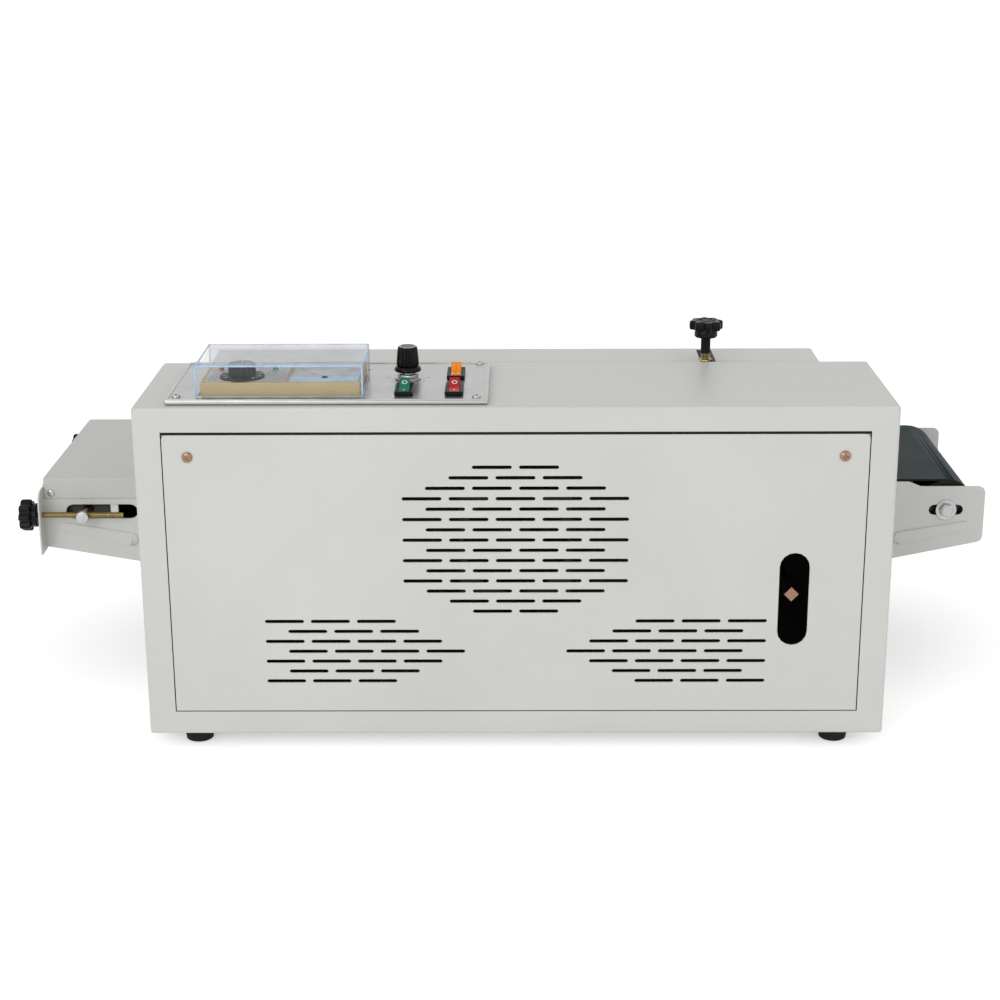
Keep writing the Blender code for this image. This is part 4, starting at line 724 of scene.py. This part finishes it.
def dust_cover():
    """The clear cover, whose thick edges catch a blue light."""
    paint("clear_cover", "dust_cover")
    low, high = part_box("dust_cover")
    wide, proud = 0.0013, 0.0001
    sides = {"left": (low.x - proud, low.x + wide), "right": (high.x - wide, high.x + proud)}
    ends = {"near": (low.y - proud, low.y + wide), "far": (high.y - wide, high.y + proud)}
    levels = {"foot": (low.z, low.z + wide), "crown": (high.z - wide, high.z + proud)}
    for end, (y0, y1) in ends.items():
        for level, (z0, z1) in levels.items():
            tone = "edge_blue" if (end, level) == ("near", "crown") else "edge_pale"
            bar(f"cover_{end}_{level}", (low.x - proud, y0, z0), (high.x + proud, y1, z1), tone, "cover", 0.0004)
    for side, (x0, x1) in sides.items():
        for level, (z0, z1) in levels.items():
            tone = "edge_blue" if level == "crown" else "edge_pale"
            bar(f"cover_{side}_{level}", (x0, low.y + wide, z0), (x1, high.y - wide, z1), tone, "cover", 0.0004)
        for end, (y0, y1) in ends.items():
            tone = "edge_blue" if end == "near" else "edge_pale"
            bar(f"cover_{side}_{end}_post", (x0, y0, low.z + wide), (x1, y1, high.z - wide), tone, "cover", 0.0004)


def speed_control():
    """The speed potentiometer with its washer and nut, and its fluted knob with a silver ring."""
    at = place(speed_x, speed_y, panel_top + 0.0003)
    washer = turned("speed_washer", [(0.0052, 0), (0.0112, 0), (0.0112, 0.0006), (0.0108, 0.0010), (0.0052, 0.0010)],
                    at, upward, "chrome", None, 40, bored=True)
    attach(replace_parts(washer, "speed_potentiometer"), "cabinet")
    hexagon("speed_nut", 0.0095, 0.0010, 0.0040, at, upward, "chrome", "cabinet", 0.0005, 0.25)
    turned("speed_bush", [(0.0050, 0), (0.0050, 0.0055), (0.0046, 0.0059), (0.0030, 0.0059)], at, upward, "chrome",
           "cabinet", 32)
    turned("speed_can", [(0.0120, -0.0240), (0.0120, -0.0062), (0.0117, -0.0046), (0.0060, -0.0046)], at, upward,
           "zinc", "cabinet", 32)
    base = at + Vector((0, 0, 0.0063))
    skirt = turned("speed_knob_skirt", [(0.0104, 0), (0.0112, 0.0006), (0.0113, 0.0018), (0.0109, 0.0030),
                                        (0.0098, 0.0042)], base, upward, "black_gloss", None, 48)
    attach(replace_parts(skirt, "speed_knob"), "speed")
    grip = [(0.0097, 0.0040), (0.0095, 0.0056), (0.0084, 0.0192), (0.0082, 0.0204), (0.0076, 0.0211), (0.0070, 0.0212)]
    lobed("speed_knob_grip", 16, 0.0012, grip, base, upward, "black_gloss", "speed", 1, 30)
    cap = [(0.0058, 0.0208), (0.0071, 0.0208), (0.0071, 0.0213), (0.0066, 0.02165), (0.0058, 0.0214)]
    turned("speed_knob_cap", cap, base, upward, "silver_face", "speed", 40, bored=True)
    turned("speed_knob_disc", [(0.0058, 0.0206), (0.0058, 0.02125), (0.0030, 0.0213)], base, upward, "black_gloss",
           "speed", 40)
    bar("speed_pointer", base + Vector((-0.0004, 0.0086, 0.0036)), base + Vector((0.0004, 0.0111, 0.0042)),
        "mark_white", "speed", 0.0001)


def switches():
    """Marks on the three rockers: a ring where it is off and a stroke where it is on. The amber one has lenses."""
    tilt = radians(12)
    crown = 0.0027 * cos(tilt)
    for name, x, y, key in (("fan", -0.0909, 0.0340, "green_key"), ("heat", -0.0499, 0.0340, "red_key"),
                            ("drive", -0.0499, 0.0885, "amber_key")):
        paint("black_satin", name + "_switch")
        paint(key, name + "_rocker")
        pivot = place(x, y, panel_top + 0.0009)
        lensed = name == "drive"
        for end, side in (("off", 1), ("on", -1)):
            slope = tilt * (1 + side)
            lean = Matrix.Rotation(slope, 3, "X")
            if end == "off":
                mark = tube(28, [(0.0016, 0), (0.0023, 0), (0.0023, 0.00005), (0.0016, 0.00005)])
            else:
                mark = cube((-0.00035, -0.0018, 0), (0.00035, 0.0018, 0.00005))
            mark.rotation_euler = (slope, 0, 0)
            mark.location = pivot + lean @ Vector((0, side * 0.0076, crown + 0.00004))
            settle(mark, f"{name}_mark_{end}", "amber_key" if lensed else "mark_white", name + "_key")
            for k, across in enumerate((-0.0020, 0.0020) if lensed else ()):
                lens = cube((-0.0017, -0.0054, -0.0006), (0.0017, 0.0054, 0.0006), 0.00055, 3)
                lens.rotation_euler = (slope, 0, 0)
                lens.location = pivot + lean @ Vector((across, side * 0.0068, crown))
                settle(lens, f"drive_lens_{end}_{k}", "amber_lens", "drive_key")


# The star knobs and their screws
def star_knob(name, at, axis, hub_radius, hub_height, reach, depth, height, body, replaced):
    """A moulded star knob on its hub, with soft lobes and a dished crown round a low dome."""
    hub = turned(name + "_hub", [(hub_radius * 0.90, 0), (hub_radius, hub_height * 0.18),
                                 (hub_radius * 0.98, hub_height * 0.8), (hub_radius * 0.94, hub_height)], at, axis,
                 "black_gloss", None, 48)
    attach(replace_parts(hub, replaced), body)
    shares = ((0.90, -0.04), (0.97, 0.03), (1.00, 0.14), (1.00, 0.76), (0.97, 0.90), (0.89, 0.98), (0.74, 1.0),
              (0.60, 0.95), (0.52, 0.86), (0.40, 0.85), (0.30, 0.93), (0.12, 0.985))
    rings = [(reach * wide, hub_height + height * share) for wide, share in shares]
    lobed(name + "_star", 8, depth, rings, at, axis, "black_gloss", body, 2, 50)


def pressure():
    """The pressure screw that stands in the slot of the head cover."""
    star_knob("pressure", place(pressure_x, pressure_y, 0.3065), upward, 0.0102, 0.0068, 0.0149, 0.0030, 0.0082,
              "press_screw", "pressure_screw")
    stem = [(0.0038, 0), (0.0042, 0.0004), (0.0042, 0.0130), (0.0047, 0.0150)]
    turned("pressure_stem", stem, place(pressure_x, pressure_y, 0.2918), upward, "black_satin", "press_screw", 28)
    hexagon("pressure_bush", 0.0064, 0.2832, 0.2868, place(pressure_x, pressure_y, 0), upward, "yellow_zinc",
            "press_screw", 0.0004, 0.2)
    threaded("pressure_thread", place(pressure_x, pressure_y, 0.2520), place(pressure_x, pressure_y, 0.2928), 0.0038,
             0.00125, "yellow_zinc", "press_screw")


def tension():
    """The two screws that draw the outlet roller's axle along its slots."""
    paint("copper", "tension_axle")
    axle_end = [(0.0048, 0), (0.0057, 0.0006), (0.0057, 0.0032), (0.0053, 0.0040), (0.0042, 0.0043), (0.0010, 0.0044)]
    for side, body, y, cap, out in (("near", "near_screw", 0.150, 0.1402, -1), ("far", "far_screw", 0.370, 0.3798, 1)):
        base = place(-0.429, y, roller_height)
        star_knob(side + "_tension", base, to_outlet, 0.0108, 0.0054, 0.0146, 0.0028, 0.0104, body,
                  side + "_tension_screw")
        threaded(side + "_tension_thread", base, place(-0.3526, y, roller_height), 0.0028, 0.001, "yellow_zinc", body)
        turned(side + "_axle_head", axle_end, place(outlet_axis, cap - out * 0.0042, roller_height), (0, out, 0),
               "chrome", "take_up", 36)
    bar("slot_spacer", place(-0.3665, 0.1618, 0.1440), place(-0.3596, 0.1660, 0.1560), "white_nylon", "conveyor",
        0.0006)


# The conveyor
def conveyor():
    # The rails and the outlet cover wear darker copies of the cabinet's grey: painted shade
    for name, finish, body, angle in (("cabinet_side_rail", "rail_coat_painted_shade", "conveyor", 25),
                                      ("operator_side_rail", "rail_coat_painted_shade", "conveyor", 25),
                                      ("outlet_cover", "outlet_coat_painted_shade", "conveyor", 32),
                                      ("conveyor_belt", "belt_face", "conveyor", 32),
                                      ("inlet_roller", "black_steel", "inlet_turn", 30),
                                      ("tension_roller", "black_steel", "take_up_turn", 30),
                                      ("drive_drum", "drum_rubber", "drum", 30),
                                      ("snub_roller_left", "turned_zinc", "snub_left", 30),
                                      ("snub_roller_right", "turned_zinc", "snub_right", 30)):
        skin(name, finish, body, angle)
    paint("zinc", "slider_bed", "clamp_bolt_left")
    paint("copper", "clamp_bolt_right")
    screws("outlet_screw", 0.0033, 0.0016, "chrome", "conveyor",
           [(place(x, y, 0.1650), axis, turn) for x, y, axis, turn in (
               (-0.4186, 0.1585, to_door, 0.4), (-0.4186, 0.3615, to_operator, 0.2),
               (-0.3500, 0.3615, to_operator, 0.7))])
    inlet_bolt()
    for side, x in (("left", -0.230), ("right", 0.230)):
        turned(f"clamp_bolt_{side}_washer", [(0.0042, 0), (0.0082, 0), (0.0084, 0.0008), (0.0042, 0.0010)],
               place(x, 0.1597, 0.1209), to_operator, "zinc", "conveyor", 36, bored=True)


def inlet_bolt():
    """The inlet roller's axle ends in a washer and a hexagon head on each side."""
    shaft = turned("inlet_shaft", [(0.0045, 0), (0.0045, 0.2010)], place(inlet_axis, 0.1595, roller_height),
                   to_operator, "zinc", None, 24)
    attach(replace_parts(shaft, "inlet_axle"), "conveyor")
    washer = [(0.0046, 0), (0.0090, 0), (0.0094, 0.0003), (0.0094, 0.0009), (0.0091, 0.0012), (0.0046, 0.0012)]
    lock_washer = [(0.0060, 0.0010), (0.0062, 0.0014), (0.0062, 0.0022), (0.0046, 0.0023)]
    for side, face, axis in (("near", 0.1599, to_door), ("far", 0.3601, to_operator)):
        at = place(inlet_axis, face, roller_height)
        turned("inlet_washer_" + side, washer, at, axis, "chrome", "conveyor", 48, bored=True)
        turned("inlet_lock_washer_" + side, lock_washer, at, axis, "zinc", "conveyor", 40)
        hexagon("inlet_head_" + side, 0.0066, 0.0021, 0.0055, at, axis, "chrome", "conveyor", 0.0005, 0.35)
        turned("inlet_head_crown_" + side, [(0.0050, 0.0054), (0.0046, 0.0061), (0.0025, 0.0062)], at, axis, "chrome",
               "conveyor", 40)


# The sealing head, and what shows through the vents
def head():
    """The band wheels, the bands, and the blocks that the bands run over."""
    for level in ("upper", "lower"):
        for wheel, body in (("inlet", "inlet"), ("drive", "drive"), ("pressure", "press")):
            skin(f"{level}_{wheel}_wheel", "turned_zinc", f"{level}_{body}", 30)
        skin(f"{level}_seal_band", "band_cloth", "cabinet", 32)
        paint("anodised", f"{level}_cooling_block")
    paint("brass_block", "upper_heating_block", "lower_heating_block")


def inside():
    paint("casting", "gearbox")
    paint("black_satin", "fan_housing")
    skin("fan_impeller", "black_satin", "impeller", 30)
    paint("board_green", "speed_board")
    motor()
    board_parts()
    gland()
    screws("fan_screw", 0.0029, 0.0016, "zinc", "cabinet",
           [(place(x, 0.0265, z), to_operator, 0.3) for x in (-0.0405, 0.0405) for z in (0.1295, 0.2105)])


def motor():
    """The motor's ribbed shell, and the screws of the gearbox that it drives."""
    radius, length = 0.028, 0.105
    at = place(-0.2077, 0.1174, 0.1740)
    rings = [(radius * wide, high) for wide, high in (
        (0.90, 0), (0.98, 0.003), (0.98, 0.014), (0.94, 0.015), (0.94, length - 0.020), (0.98, length - 0.019),
        (0.98, length - 0.004), (0.86, length), (0.3, length))]
    shell = turned("motor_shell", rings, at, to_inlet, "motor_enamel", None, 48)
    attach(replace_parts(shell, "drive_motor"), "cabinet")
    ribs("motor_rib", 12, (0.016, -0.0012, radius * 0.92), (length - 0.021, 0.0012, radius * 0.985), 0.0004, at,
         "motor_enamel")
    screws("gearbox_screw", 0.0040, 0.0026, "zinc", "cabinet",
           [(place(x, 0.0974, z), to_door, 0.5) for x in (-0.265, -0.215) for z in (0.158, 0.222)])


def board_parts():
    """The choke, the relay, the heat sink, the capacitors and the terminals on the speed board."""
    deck = 0.0167
    for name, x0, y0, x1, y1, tall, finish, edge in (
            ("choke", -0.0486, 0.0660, -0.0284, 0.0822, 0.0241, "casting", 0.0008),
            ("relay", -0.0200, 0.0800, 0.0100, 0.1020, 0.0121, "relay_blue", 0.0008),
            ("sink", 0.0290, 0.0660, 0.0450, 0.0960, 0.0301, "anodised", 0.0004)):
        bar("board_" + name, place(x0, y0, deck), place(x1, y1, deck + tall), finish, "cabinet", edge)
    for k, x in enumerate((-0.0130, 0.0000, 0.0130)):
        turned(f"board_capacitor_{k}", [(0.0042, 0), (0.0044, 0.0006), (0.0044, 0.0120), (0.0040, 0.0126)],
               place(x, 0.0640, deck), upward, "relay_blue", "cabinet", 24)
    for k in range(5):
        x = -0.0480 + 0.0095 * k
        bar(f"board_terminal_{k}", place(x - 0.0042, 0.1090, deck), place(x + 0.0042, 0.1170, deck + 0.0095),
            "terminal_green", "cabinet", 0.0006)


def gland():
    """The strain relief on the cabinet's side: a flange, a ribbed dome nut with an open bore, a thread and a nut."""
    start = place(0.3103, 0.120, 0.032)
    reach, radius, bore = 0.0139, 0.0095, 0.0040
    flange = turned("gland_flange", [(bore, 0), (radius, 0), (radius, reach * 0.12), (radius * 0.96, reach * 0.16),
                                     (bore, reach * 0.16)], start, to_inlet, "black_satin", None, 40, bored=True)
    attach(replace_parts(flange, "cable_gland"), "cabinet")
    dome = [(bore, reach * 0.16), (radius * 0.90, reach * 0.16), (radius * 0.94, reach * 0.22),
            (radius * 0.94, reach * 0.62), (radius * 0.86, reach * 0.82), (radius * 0.66, reach), (bore, reach)]
    turned("gland_dome", dome, start, to_inlet, "black_satin", "cabinet", 40, bored=True)
    ribs("gland_rib", 12, (reach * 0.24, -0.0006, radius * 0.90), (reach * 0.62, 0.0006, radius * 0.985), 0.0003,
         start, "black_satin")
    turned("gland_thread", [(bore, -0.008), (0.0063, -0.008), (0.0063, 0), (bore, 0)], start, to_inlet, "black_satin",
           "cabinet", 32, bored=True)
    hexagon("gland_locknut", 0.0096, -0.0068, -0.0026, start, to_inlet, "black_satin", "cabinet", 0.0004)


# The floor, the light and the camera
def lit_background(tree, strength, seen):
    """A light that the camera and mirrors see at one strength and that falls on the object at another."""
    path = tree.nodes.new("ShaderNodeLightPath")
    mirrored = maths(tree, "MAXIMUM", path.outputs["Is Camera Ray"], path.outputs["Is Glossy Ray"])
    looked = maths(tree, "MAXIMUM", mirrored, path.outputs["Is Transmission Ray"])
    return span(tree, looked, 0, 1, strength, seen)


def studio():
    start_alone()
    bpy.ops.mesh.primitive_plane_add(size=160, location=(0, 20, -0.0002))
    floor = bpy.context.object
    floor.name = "studio_floor"
    tree, shader = blank("studio_floor")
    for label, value in (("Base Color", (0.93, 0.93, 0.93, 1)), ("Roughness", 0.9), ("Emission Color", (1, 1, 1, 1)),
                         ("Emission Strength", lit_background(tree, 0.0, floor_glow))):
        put(tree, shader.inputs[label], value)
    floor.data.materials.append(materials["studio_floor"])
    world = bpy.data.worlds.new("studio")
    bpy.context.scene.world = world
    world.use_nodes = True
    background = world.node_tree.nodes["Background"]
    background.inputs[0].default_value = (1, 1, 1, 1)
    world.node_tree.links.new(lit_background(world.node_tree, sky_light, 1.0), background.inputs[1])
    for name, at, size, power in lamps:
        bpy.ops.object.light_add(type="AREA", location=at)
        lamp = bpy.context.object
        lamp.name = name
        lamp.data.size = size
        lamp.data.energy = power
        lamp.rotation_euler = (Vector((0, 0, 0.15)) - Vector(at)).to_track_quat("-Z", "Y").to_euler()
    bpy.context.scene.view_settings.view_transform = "Standard"
    bpy.ops.object.camera_add(location=home + Vector(camera_stand))
    camera = bpy.context.object
    camera.data.lens = camera_lens
    camera.data.sensor_width = 36
    camera.data.clip_end = 200
    pitch, roll, yaw = (radians(degrees) for degrees in camera_turn)
    turn = Matrix.Rotation(yaw, 3, "Z") @ Matrix.Rotation(pitch, 3, "X") @ Matrix.Rotation(roll, 3, "Y")
    right, ahead, above = turn.col
    camera.rotation_euler = Matrix((right, above, -ahead)).transposed().to_euler()
    bpy.context.scene.camera = camera


for make in (paints, metals, plastics, cloths, studio, cabinet, panel, controller, dust_cover, speed_control, switches,
             pressure, tension, conveyor, head, inside):
    make()
